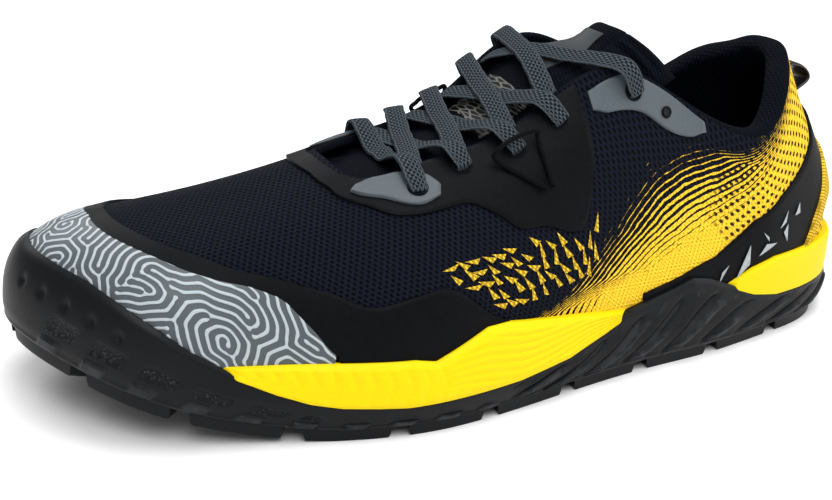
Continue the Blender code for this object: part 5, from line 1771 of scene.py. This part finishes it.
@dataclass
class Tongue:
    """Padded tongue that lies under the throat and stands up in front of the ankle.

    Attributes:
        clearance: Step from the lining.
        run: Share of the rib's run at its edges.
        shares: Shares of the way round of the rows under the throat.
        free: Ends and middles of the rows above it, as shares of the sizes.
        across: Steps across it.
    """

    last: Last
    thickness: float = 0.0042
    clearance: float = 0.0006
    run: float = 0.86
    shares: tuple[float, ...] = (0.055, 0.095, 0.13, 0.165, 0.195, 0.225, 0.255, 0.285, 0.31)
    free: tuple[tuple[tuple[float, float, float], tuple[float, float, float]], ...] = (
        ((-0.158, 0.172, 0.83), (-0.124, -0.01, 0.96)),
        ((-0.186, 0.174, 0.85), (-0.142, -0.01, 0.995)),
        ((-0.21, 0.16, 0.875), (-0.157, -0.01, 1.01)),
    )
    across: int = 8

    def __post_init__(self) -> None:
        """Lays its rows and their normals."""
        rows = [self.throat_row(share) for share in self.shares]
        rows += [self.free_row(*row) for row in self.free]
        self.outer = np.array(rows)
        along = np.gradient(self.outer, axis=0)
        across = np.gradient(self.outer, axis=1)
        self.normals = unit(np.cross(across, along))
        if self.normals[2, self.across // 2, 2] < 0:
            self.normals = -self.normals

    def throat_row(self, share: float) -> Array:
        """Arc from the inside of one eyestay to the other under the throat.

        Args:
            share: Share of the way round.

        Returns:
            The row's points.
        """
        last, ends = self.last, []
        for place in (share * last.ribs, -share * last.ribs):
            pad = np.interp(np.mod(place, last.ribs), np.arange(last.ribs), last.pad)
            depth = UPPER_WALL + pad + self.clearance
            here = last.between(place, self.run, -depth)[0]
            ahead = last.between(place, self.run + 0.04, -depth)[0]
            ends.append((here, unit(ahead - here)))
        (start, out), (stop, back) = ends
        reach = np.linalg.norm(stop - start)
        t = np.linspace(0, 1, self.across + 1)[:, None]
        return cubic(t, start, reach * out, stop, -reach * back)

    def free_row(self, end: Sequence[float], centre: Sequence[float]) -> Array:
        """Row of the part that stands free, as an arch between two ends.

        Args:
            end: Its outer end, in shares of the sizes.
            centre: Its middle.

        Returns:
            The row's points.
        """
        size = np.array((LENGTH, BALL_WIDTH, INSTEP_HEIGHT))
        end, centre = np.array(end) * size, np.array(centre) * size
        t = np.linspace(1, -1, self.across + 1)
        back, down = np.abs(t) ** 2.0, np.abs(t) ** 2.7
        x = centre[0] + (end[0] - centre[0]) * back
        y = centre[1] * (1 - t**2) + end[1] * t
        return np.column_stack([x, y, centre[2] + (end[2] - centre[2]) * down])

    def point(self, share: float, t: float) -> Ray:
        """Point and normal at a share of the way round and a share of the way across.

        Args:
            share: Share of the way round.
            t: Share of the way across.

        Returns:
            The point and the normal.
        """
        row = np.interp(share, self.shares, np.arange(len(self.shares)))
        column = t * self.across
        i, j = int(min(row, len(self.shares) - 2)), int(min(column, self.across - 1))
        a, b = row - i, column - j
        found = []
        for grid in (self.outer, self.normals):
            near = grid[i, j] * (1 - b) + grid[i, j + 1] * b
            far = grid[i + 1, j] * (1 - b) + grid[i + 1, j + 1] * b
            found.append(near * (1 - a) + far * a)
        return found[0], unit(found[1])


@dataclass
class TongueSkin:
    """Fine skin of the tongue, with its blank label and its print.

    Attributes:
        row_count: Steps from the toe end to the top.
        column_count: Steps across.
        quilt: Height of the quilting.
        seam: Depth of the seams.
    """

    tongue: Tongue
    row_count: int = 120
    column_count: int = 72
    quilt: float = 0.00045
    seam: float = 0.0006

    def __post_init__(self) -> None:
        """Reads the tongue's rows at a finer step."""
        tongue, rows, columns = self.tongue, self.row_count, self.column_count
        lengthwise = open_spline(tongue.outer, np.linspace(0, 1, rows + 1))
        crosswise = open_spline(np.swapaxes(lengthwise, 0, 1), np.linspace(0, 1, columns + 1))
        self.outer = np.swapaxes(crosswise, 0, 1)
        along, across = np.gradient(self.outer, axis=0), np.gradient(self.outer, axis=1)
        self.normals = unit(np.cross(across, along))
        if self.normals[rows // 4, columns // 2, 2] < 0:
            self.normals = -self.normals
        self.rows = np.linspace(0, 1, rows + 1)[:, None]
        self.columns = np.linspace(0, 1, columns + 1)[None, :]

    def sheets(self) -> Ray:
        """Outer and inner skin, rounded at the edges and quilted at the sides.

        Returns:
            Both sheets.
        """
        edge = np.abs(2 * self.columns - 1)
        head = np.clip((self.rows - 0.93) / 0.07, 0, 1)
        full = np.sqrt(np.clip(1 - edge**10, 0, 1)) * np.sqrt(np.clip(1 - head**3, 0, 1))
        quilt = np.sin(self.rows * 2 * math.pi * 17) * window(edge, 0.42, 0.97, 0.12) * self.quilt
        seam = -self.seam * np.exp(-(((edge - 0.4) / 0.02) ** 2)) * (self.rows > 0.55)
        middle = self.outer - self.normals * self.tongue.thickness / 2
        half = self.tongue.thickness / 2 * full
        top = middle + self.normals * (half + (quilt + seam) * full)[:, :, None]
        return top, middle - self.normals * half[:, :, None]

    def patch(
        self, name: str, rows: Pair, columns: Pair, rise: float
    ) -> Piece:
        """Thin patch that lies on the tongue.

        Args:
            name: Object name.
            rows: Shares along the tongue.
            columns: Shares across it.
            rise: Its thickness in metres.

        Returns:
            The piece.
        """
        top = self.sheets()[0]
        picked = np.ix_(
            np.where((self.rows[:, 0] >= rows[0]) & (self.rows[:, 0] <= rows[1]))[0],
            np.where((self.columns[0] >= columns[0]) & (self.columns[0] <= columns[1]))[0],
        )
        base, normal = top[picked], self.normals[picked]
        piece = Piece(name)
        shell(piece, base + normal * rise, base - normal * 0.0002)
        return piece

    def build(self, surfaces: Surfaces) -> None:
        """Makes the tongue, its label and its print.

        Args:
            surfaces: Materials by name.
        """
        piece = Piece("tongue_pad")
        shell(piece, *self.sheets())
        made = piece.build((surfaces["tongue"],), Finish.LINING, "tongue", sharp=60)
        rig.padded(made, fill=0.5)
        label = self.patch("tongue_label", (0.64, 0.89), (0.38, 0.84), 0.0004)
        label.build((surfaces["label"],), Finish.GREY_FILM)
        slivers = self.patch("tongue_print", (0.46, 0.58), (0.26, 0.74), 0.0003)
        slivers.build((surfaces["shard_print"],), Finish.GREY_FILM)


@dataclass
class Lacing:
    """Flat woven lace over the tongue, with its eyelets and its two cord loops.

    Attributes:
        node_width: Width of the lace's node.
        node_thickness: Thickness of the lace's node.
        clearance: Step between the lace and what it lies on.
        over_stay: Height of its middle over the upper at an eyelet.
        over: Rise of the bands that cross on top.
        step: Rise from each row to the next.
        rise: Rise over the throat's rim.
        start: Share across the tongue where a band comes up.
        start_lift: Height there.
        sides: Points round a section.
        cord_radius: Radius of a cord loop.
        cord_hole: Its hole, as a share of the way round and one of the run.
        cord_spread: Half the width of the loop, as a share of the way round.
    """

    last: Last
    tongue: Tongue
    width: float = 0.0064
    thickness: float = 0.0015
    node_width: float = 0.0075
    node_thickness: float = 0.0018
    clearance: float = 0.0006
    over_stay: float = 0.0031
    over: float = 0.0013
    step: float = 0.0004
    rise: float = 0.0014
    start: float = 0.23
    start_lift: float = 0.0012
    steps: int = 9
    sides: int = 14
    cord_radius: float = 0.0009
    cord_hole: Pair = (0.26, 0.65)
    cord_spread: float = 0.0135

    def on_upper(self, share: float, run: float, way: int, offset: float) -> Ray:
        """Point and normal over the upper at an eyelet or at the throat's edge."""
        place = share * self.last.ribs * way
        here = self.last.between(place, run, offset)[0]
        return here, unit(here - self.last.between(place, run, offset - 0.001)[0])

    def on_tongue(self, share: float, t: float, lift: float) -> Ray:
        """Point and normal over the tongue, higher beside the throat's edges."""
        here, normal = self.tongue.point(share, t)
        low = self.clearance + self.node_thickness / 2 + lift
        return here + normal * (low + 0.0032 * (2 * t - 1) ** 2), normal

    def over_rim(self, share: float, way: int) -> Ray:
        """Point and normal just above the rim of the throat.

        Args:
            share: Share of the way round.
            way: 1 outer side, -1 inner.

        Returns:
            The point and the normal.
        """
        place = share * self.last.ribs * way
        edge, normal = self.on_upper(share, 1.0, way, 0.0)
        along = unit(edge - self.last.between(place, 0.97, 0.0)[0])
        pad = np.interp(np.mod(place, self.last.ribs), np.arange(self.last.ribs), self.last.pad)
        wall = UPPER_WALL + pad
        rise = wall * RIM_ROUND + self.clearance + self.node_thickness / 2 + self.rise
        return edge + normal * rise + along * wall * RIM_ROUND, unit(normal + along * 0.4)

    def share_on_way(
        self, shares: Sequence[float], points: Array, start: Array, stop: Array
    ) -> float:
        """Share at which a row of points meets a band's straight way, seen from above."""
        side = np.cross((stop - start)[:2], (np.array(points) - start)[:, :2])
        order = np.argsort(side)
        return np.interp(0.0, side[order], np.array(shares)[order])

    def on_way(self, start: Array, stop: Array, way: int, run: float) -> float:
        """Share at which a line along the upper meets a band's straight way."""
        shares = np.linspace(0.02, 0.36, 35)
        points = self.last.between(shares * self.last.ribs * way, run, 0.0)
        return self.share_on_way(shares, points, start, stop)

    def on_way_over_tongue(self, start: Array, stop: Array, t: float, lift: float) -> Ray:
        """Point and normal of a band's straight way at a share across the tongue."""
        points = self.tongue.outer[: len(self.tongue.shares)]
        column = t * self.tongue.across
        i = int(min(column, self.tongue.across - 1))
        points = points[:, i] * (1 - column + i) + points[:, i + 1] * (column - i)
        return self.on_tongue(self.share_on_way(self.tongue.shares, points, start, stop), t, lift)

    def strand(
        self,
        start: Pair,
        stop: Pair,
        start_way: int,
        from_under: bool,
        lift: float,
    ) -> list[Array]:
        """Path of one band between an eyelet of each side.

        Args:
            start: First eyelet.
            stop: Last eyelet.
            start_way: Side of the first, 1 outer, -1 inner.
            from_under: Whether it comes from under the edge.
            lift: Height over the first band.

        Returns:
            Points and normals.
        """
        first = self.on_upper(*start, start_way, self.over_stay)
        final = self.on_upper(*stop, -start_way, self.over_stay)
        line = (first[0], final[0])
        halves = []
        for eyelet, way, t in ((first, start_way, 0.4), (final, -start_way, 0.6)):
            halves.append([
                eyelet,
                self.over_rim(self.on_way(*line, way, 1.0), way),
                self.on_way_over_tongue(*line, self.across(t, start_way), lift),
            ])
        if from_under:
            here = self.across(self.start, start_way)
            halves[0] = [self.on_way_over_tongue(*line, here, self.start_lift), halves[0][-1]]
        middle = self.on_way_over_tongue(*line, 0.5, lift)
        return [np.array(column) for column in zip(*halves[0], middle, *halves[1][::-1])]

    def across(self, t: float, way: int) -> float:
        """Share across the tongue, counted from the side that a band starts on."""
        return t if way == 1 else 1 - t

    def cord_points(self, way: int, eyelet: Pair) -> list[Array]:
        """Points of one cord loop, from its hole over the lace and back.

        Args:
            way: 1 outer side, -1 inner.
            eyelet: Eyelet of the lace's third row.

        Returns:
            The points.
        """
        hole = (self.cord_hole[0] + eyelet[0] - OUTER_EYELETS[2][0], self.cord_hole[1])
        rest = OVERLAY_CLEARANCE + OVERLAY_THICKNESS + GAP + self.cord_radius
        over = self.over_stay + self.node_thickness / 2 + GAP + self.cord_radius
        legs = []
        for side in (-1, 1):
            foot = self.on_upper(hole[0] + side * 0.0018, hole[1], way, rest)[0]
            knee = self.on_upper(eyelet[0] + side * self.cord_spread, eyelet[1] - 0.03, way, rest)[0]
            legs.append((foot, knee))
        high = [
            self.on_upper(eyelet[0] + side * self.cord_spread * 0.9, eyelet[1], way, over + 0.0004)[0]
            for side in (-1, 1)
        ]
        crown = self.on_upper(eyelet[0], eyelet[1] + 0.012, way, over + 0.0012)[0]
        return [*legs[0], high[0], crown, high[1], *legs[1][::-1]]

    def routes(self) -> list[tuple[Array, Array, bool]]:
        """Paths of the bar and the crossings.

        Returns:
            Points, normals and whether the band comes from under the edge.
        """
        bands = [(OUTER_EYELETS[0], INNER_EYELETS[0], 1, False, 0.0)]
        for k in range(4):
            lift = k * self.step
            bands.append((INNER_EYELETS[k], OUTER_EYELETS[k + 1], -1, True, lift))
            bands.append((OUTER_EYELETS[k], INNER_EYELETS[k + 1], 1, True, lift + self.over))
        found = []
        for start, stop, way, under, lift in bands:
            points, normals = self.strand(start, stop, way, under, lift)
            hole = self.on_upper(*stop, -way, -0.0012)[0]
            ahead = unit(points[-1] - points[-2])
            bend = points[-1] + ahead * 0.001 - normals[-1] * 0.001
            points = np.vstack([points, bend, hole + ahead * 0.0008])
            normals = np.vstack([normals, unit(normals[-1] + ahead), unit(normals[-1] * 0.25 + ahead)])
            if under:
                first = points[0] - unit(points[1] - points[0]) * 0.0045 - normals[0] * 0.0012
                points, normals = np.vstack([first, points]), np.vstack([normals[0], normals])
            else:
                hole = self.on_upper(*start, way, -0.0012)[0]
                back = unit(points[0] - points[1])
                bend = points[0] + back * 0.001 - normals[0] * 0.001
                points = np.vstack([hole + back * 0.0008, bend, points])
                normals = np.vstack([unit(normals[0] * 0.25 + back), unit(normals[0] + back), normals])
            found.append((points, normals, under))
        return found

    def add_bands(self, lace: Material) -> None:
        """Makes the lace.

        Args:
            lace: Its material.
        """
        piece = Piece("woven_lace")
        turns = np.linspace(0, 2 * math.pi, self.sides, endpoint=False)
        flat = np.sign(np.cos(turns)) * np.abs(np.cos(turns)) ** 0.55
        thick = np.sign(np.sin(turns)) * np.abs(np.sin(turns)) ** 0.8
        for points, normals, under in self.routes():
            path, facing = smooth_path(points, self.steps), unit(smooth_path(normals, self.steps))
            along = unit(np.gradient(path, axis=0))
            side = unit(np.cross(along, facing))
            up = unit(np.cross(side, along))
            run = np.concatenate([[0], np.cumsum(np.linalg.norm(np.diff(path, axis=0), axis=1))])
            ends = (run[-1] - run) if under else np.minimum(run, run[-1] - run)
            pinch = 0.55 + 0.45 * np.clip(ends / 0.009, 0, 1) ** 0.7
            width = self.width / 2 * pinch * (1 + 0.03 * np.sin(run * 900))
            height = self.thickness / 2 * (0.85 + 0.3 * (1 - pinch))
            wide = side[:, None] * (width[:, None] * flat)[:, :, None]
            tall = up[:, None] * (height[:, None] * thick)[:, :, None]
            across = flat[None] * self.node_width / 2 + 0 * run[:, None]
            weave = {"weave_a": run[:, None] + 0 * flat, "weave_q": across}
            piece.grid(path[:, None] + wide + tall, closed=True, flip=True, **weave)
        piece.build((lace,), Finish.LACE, "lace", weld=False)

    def add_holes(self, dark: Material, ring: Material) -> None:
        """Marks the eyelets, with the empty one behind the last row. Their openings are near-black discs of painted
        shade.

        Args:
            dark: Material of the holes, painted shade in the openings.
            ring: Material of their pressed rims.
        """
        piece = Piece("eyelet_holes")
        turns = np.linspace(0, 2 * math.pi, 28, endpoint=False)
        rows = ((1, OUTER_EYELETS, (0.338, 0.868)), (-1, INNER_EYELETS, (0.332, 0.868)))
        profile = ((0.0, -0.0002), (0.0019, -0.0001), (0.0021, 0.00025), (0.0026, 0.00045), (0.0031, 0.0))
        for way, row, spare in rows:
            for eyelet in (*row, spare):
                stacked = eyelet == row[0]
                rise = OVERLAY_CLEARANCE + OVERLAY_THICKNESS * (1 + stacked) + GAP * stacked
                centre, normal = self.on_upper(*eyelet, way, rise - 0.0001)
                place = eyelet[0] * self.last.ribs * way
                ahead = unit(self.last.between(place, eyelet[1] + 0.02, rise)[0] - centre)
                circle = np.cos(turns)[:, None] * ahead + np.sin(turns)[:, None] * np.cross(normal, ahead)
                size = 0.62 if eyelet == spare else 1.0
                rings = [centre + circle * radius * size + normal * lift for radius, lift in profile]
                # Near-black disc in the opening: painted shade.
                piece.grid(np.stack(rings[:3]), closed=True)
                piece.grid(np.stack(rings[2:]), closed=True, slot=1)
        piece.build((dark, ring), Finish.BLACK_FILM, weld=False)

    def add_loops(self, cord: Material) -> None:
        """Round cord loops that hold the lace's third row.

        Args:
            cord: Their material.
        """
        turns = np.linspace(0, 2 * math.pi, 12, endpoint=False)
        for name, way, eyelet in (("outer", 1, OUTER_EYELETS[2]), ("inner", -1, INNER_EYELETS[2])):
            points = np.array(self.cord_points(way, eyelet))
            if way < 0:
                legs = (points[1:2] + points[5:6]) / 2 * 0.3 + points[[1, 1, 5]] * 0.35
                points[2:5] = points[2:5] * 0.35 + legs
            path = smooth_path(points, 8)
            along = unit(np.gradient(path, axis=0))
            side = unit(np.cross(along[0], (0.3, 0.5, 0.8)))
            run = np.concatenate([[0], np.cumsum(np.linalg.norm(np.diff(path, axis=0), axis=1))])
            rings = []
            for point, direction in zip(path, along):
                side = unit(side - direction * np.dot(side, direction))
                up = np.cross(direction, side)
                circle = np.cos(turns)[:, None] * side + np.sin(turns)[:, None] * up
                rings.append(point + circle * self.cord_radius * 0.8)
            piece = Piece(f"cord_{name}")
            round_it = turns * self.cord_radius + 0 * run[:, None]
            weave = {"weave_a": run[:, None] + 0 * turns, "weave_q": round_it}
            piece.grid(np.stack(rings), closed=True, **weave)
            piece.build((cord,), Finish.LACE, f"cord_loop_{name}")

    def build(self, surfaces: Surfaces) -> None:
        """Makes the lace, its eyelets and its cords."""
        self.add_bands(surfaces["lace"])
        self.add_holes(surfaces["hole"], surfaces["film"])
        self.add_loops(surfaces["cord"])


@dataclass
class PullLoop:
    """Webbing pull loop on the heel.

    Attributes:
        reach: How far it stands out.
        runs: Shares of the run of its two ends.
    """

    last: Last
    width: float = 0.01
    thickness: float = 0.0014
    reach: float = 0.0105
    runs: Pair = (0.935, 0.79)

    def build(self, webbing: Material) -> None:
        """Webbing pull loop on the heel.

        Args:
            webbing: Its material.
        """
        last = self.last
        heel = last.ribs / 2
        high, low = (last.between(heel, run, 0.0006)[0] for run in self.runs)
        down = unit(low - high)
        out = unit(np.array((down[2], 0.0, -down[0])))
        out = out if out[0] < 0 else -out
        span = np.linalg.norm(low - high)
        shape = ((0.0, -0.05), (0.12, 0.3), (0.42, 0.66), (0.78, 0.8), (0.98, 0.62), (1.0, -0.05))
        path = [high + down * span * a + out * self.reach * b for a, b in shape]
        outline = smooth_path(np.array(path), 10)
        along = unit(np.gradient(outline, axis=0))
        facing = unit(np.cross(along, (0.0, 1.0, 0.0)))
        centre = outline.mean(axis=0)
        facing *= np.sign(np.sum(facing * (outline - centre), axis=1))[:, None]
        turns = np.linspace(0, 2 * math.pi, 18, endpoint=False)
        flat = np.sign(np.cos(turns)) * np.abs(np.cos(turns)) ** 0.4 * self.width / 2
        thick = np.sin(turns) * self.thickness / 2
        inward = outline - facing * self.thickness / 2
        points = inward[:, None] + facing[:, None] * thick[None, :, None]
        points = points + np.array((0.0, 1.0, 0.0)) * flat[None, :, None]
        piece = Piece("heel_webbing")
        piece.grid(points, closed=True)
        piece.build((webbing,), Finish.WEBBING, "pull_loop")


@dataclass(frozen=True)
class Photo:
    """Camera that took the photograph, in the loft's frame.

    Attributes:
        azimuth: Degrees, 0 looks along +Y.
        elevation: Degrees over the floor.
        roll: Degrees.
        distance: Metres from the target.
        focal: Focal length in pixels of the photograph.
        target: Point that it looks at.
    """

    azimuth: float = 148.451
    elevation: float = 21.113
    roll: float = 4.114
    distance: float = 0.46742
    focal: float = 1507.98
    width: int = 832
    target: tuple[float, float, float] = (0.02086, 0.0, 0.03319)

    def place(self, shift: Vector) -> None:
        """Makes the scene's camera.

        Args:
            shift: Step from the loft's frame to the part's.
        """
        azimuth, elevation, roll = (math.radians(v) for v in (self.azimuth, self.elevation, self.roll))
        level = math.cos(elevation)
        back = Vector((math.sin(azimuth) * level, -math.cos(azimuth) * level, math.sin(elevation)))
        right = Vector((0, 0, 1)).cross(back).normalized()
        above = back.cross(right)
        turned = math.cos(roll) * right + math.sin(roll) * above
        upright = -math.sin(roll) * right + math.cos(roll) * above
        data = bpy.data.cameras.new("photo_camera")
        data.sensor_width = 36.0
        data.lens = self.focal / self.width * data.sensor_width
        data.clip_start, data.clip_end = 0.01, 50.0
        camera = bpy.data.objects.new("photo_camera", data)
        bpy.context.scene.collection.objects.link(camera)
        place = Vector(self.target) + shift + back * self.distance
        camera.matrix_world = Matrix(
            [[turned[i], upright[i], back[i], place[i]] for i in range(3)] + [[0, 0, 0, 1]]
        )
        bpy.context.scene.camera = camera


@dataclass(frozen=True)
class Softbox:
    """Area light of the studio.

    Attributes:
        place: Its place in metres.
        aim: Point that it faces.
    """

    name: str
    place: tuple[float, float, float]
    aim: tuple[float, float, float]
    size: Pair
    power: float

    def light(self) -> None:
        """Adds the light."""
        data = bpy.data.lights.new(self.name, "AREA")
        data.shape = "RECTANGLE"
        data.size, data.size_y = self.size
        data.energy = self.power
        made = bpy.data.objects.new(self.name, data)
        bpy.context.scene.collection.objects.link(made)
        made.location = self.place
        made.rotation_euler = (Vector(self.aim) - Vector(self.place)).to_track_quat("-Z", "Y").to_euler()


SOFTBOXES = (
    Softbox("key", (0.35, 0.75, 0.95), (0.0, 0.0, 0.04), (0.7, 0.7), 9.0),
    Softbox("top", (-0.1, 0.05, 1.15), (0.0, 0.0, 0.04), (1.0, 0.8), 10.0),
    Softbox("rim", (0.1, -0.9, 0.75), (0.0, 0.0, 0.05), (0.9, 0.5), 6.0),
    Softbox("side", (-0.75, 0.45, 0.4), (-0.05, 0.0, 0.04), (0.5, 0.6), 3.0),
)


def build_studio() -> None:
    """White floor, white surroundings and the lights."""
    scene = bpy.context.scene
    world = bpy.data.worlds.new("studio")
    world.use_nodes = True
    world.node_tree.nodes["Background"].inputs["Color"].default_value = (1.0, 1.0, 1.0, 1.0)
    world.node_tree.nodes["Background"].inputs["Strength"].default_value = 0.36
    scene.world = world
    scene.view_settings.view_transform = "Standard"
    bpy.ops.mesh.primitive_plane_add(size=12.0, location=(0.0, 0.0, -0.0001))
    floor = bpy.context.object
    floor.name = "studio_floor"
    shader = Shader("studio_floor", Look((0.93, 0.93, 0.93), 0.7, specular=0.1))
    floor.data.materials.append(shader.material)
    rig.stage(floor)
    for softbox in SOFTBOXES:
        softbox.light()


def frame_shift(tongue: Tongue) -> Vector:
    """Step from the loft's frame to the part's, read off the tongue's box."""
    points = np.concatenate([tongue.outer, tongue.outer - tongue.normals * tongue.thickness]).reshape(-1, 3)
    low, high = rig.box("tongue")
    return (low + high) / 2 - Vector((points.min(axis=0) + points.max(axis=0)) / 2)


def build_surfaces() -> Surfaces:
    """Makes every material of the shoe.

    Returns:
        Materials by name.
    """
    return {
        "knit": knit_material(),
        "cap": cap_material(),
        "film": plain_material("black_film", FILM, 700.0),
        "patch": plain_material("grey_film", PATCH, 1500.0, 0.00004, 0.88),
        "label": plain_material("blank_label", LABEL, 1500.0, 0.00004, 0.88),
        "amber": cloth_material("amber_knit", AMBER, 0.0016),
        "shard": plain_material("grey_shards", SHARD_GREY),
        "shard_print": shard_print_material(),
        "rubber": rubber_material(),
        "foam": plain_material("foam", FOAM, 1600.0, 0.00003, 0.95),
        "lining": cloth_material("lining", LINING, 0.0015),
        "tongue": cloth_material("tongue_mesh", LINING, 0.0013),
        "lace": lace_material(),
        "cord": cloth_material("cord", LACE_DARK, 0.0009),
        "webbing": plain_material("webbing", WEBBING, 600.0),
        # Near-black eyelet discs: painted shade inside the openings.
        "hole": plain_material("eyelet_hole", Look((0.001, 0.001, 0.001), 0.9)),
    }


def shard_print_material() -> Material:
    """Print of pale slivers on black.

    Returns:
        The material.
    """
    shader = Shader("sliver_print", FILM)
    a, q = shader.attribute("weave_a"), shader.attribute("weave_q")
    cells = shader.node("ShaderNodeTexVoronoi", voronoi_dimensions="2D", feature="DISTANCE_TO_EDGE")
    cells.inputs["Scale"].default_value = 330.0
    shader.link(shader.vector(shader.math("MULTIPLY", a, 2.0), q), cells.inputs["Vector"])
    line = shader.step(cells.outputs["Distance"], 0.09, 0.16)
    shader.paint(shader.mix(line, PRINT_STROKE, FILM.colour))
    return shader.material


def write_sizes(key: str) -> None:
    sizes = {} if key == "cad" else json.load(open(SIZE_FILE, encoding="utf-8"))
    low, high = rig.bounds()
    sizes[key] = [list(low), list(high)]
    with open(SIZE_FILE, "w", encoding="utf-8") as out:
        json.dump(sizes, out)


def main() -> None:
    """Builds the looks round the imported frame."""
    logging.basicConfig(level=logging.INFO)
    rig.load()
    write_sizes("cad")
    cad_last = Last(RIBS)
    tongue = Tongue(cad_last)
    Piece.shift = frame_shift(tongue)
    Photo().place(Piece.shift)
    build_studio()
    surfaces = build_surfaces()
    last, sole_last = Last(FINE_RIBS), Last(SOLE_RIBS)
    Upper(last).build(surfaces["knit"], surfaces["lining"])
    Outsole(sole_last).build(surfaces["rubber"])
    Midsole(sole_last).build(surfaces["foam"])
    Footbed(last).build(surfaces["lining"])
    Overlays(last).build(surfaces)
    Prints(last).build(surfaces)
    TongueSkin(tongue).build(surfaces)
    Lacing(cad_last, tongue).build(surfaces)
    PullLoop(cad_last).build(surfaces["webbing"])
    write_sizes("looks")


if __name__ == "__main__":
    main()
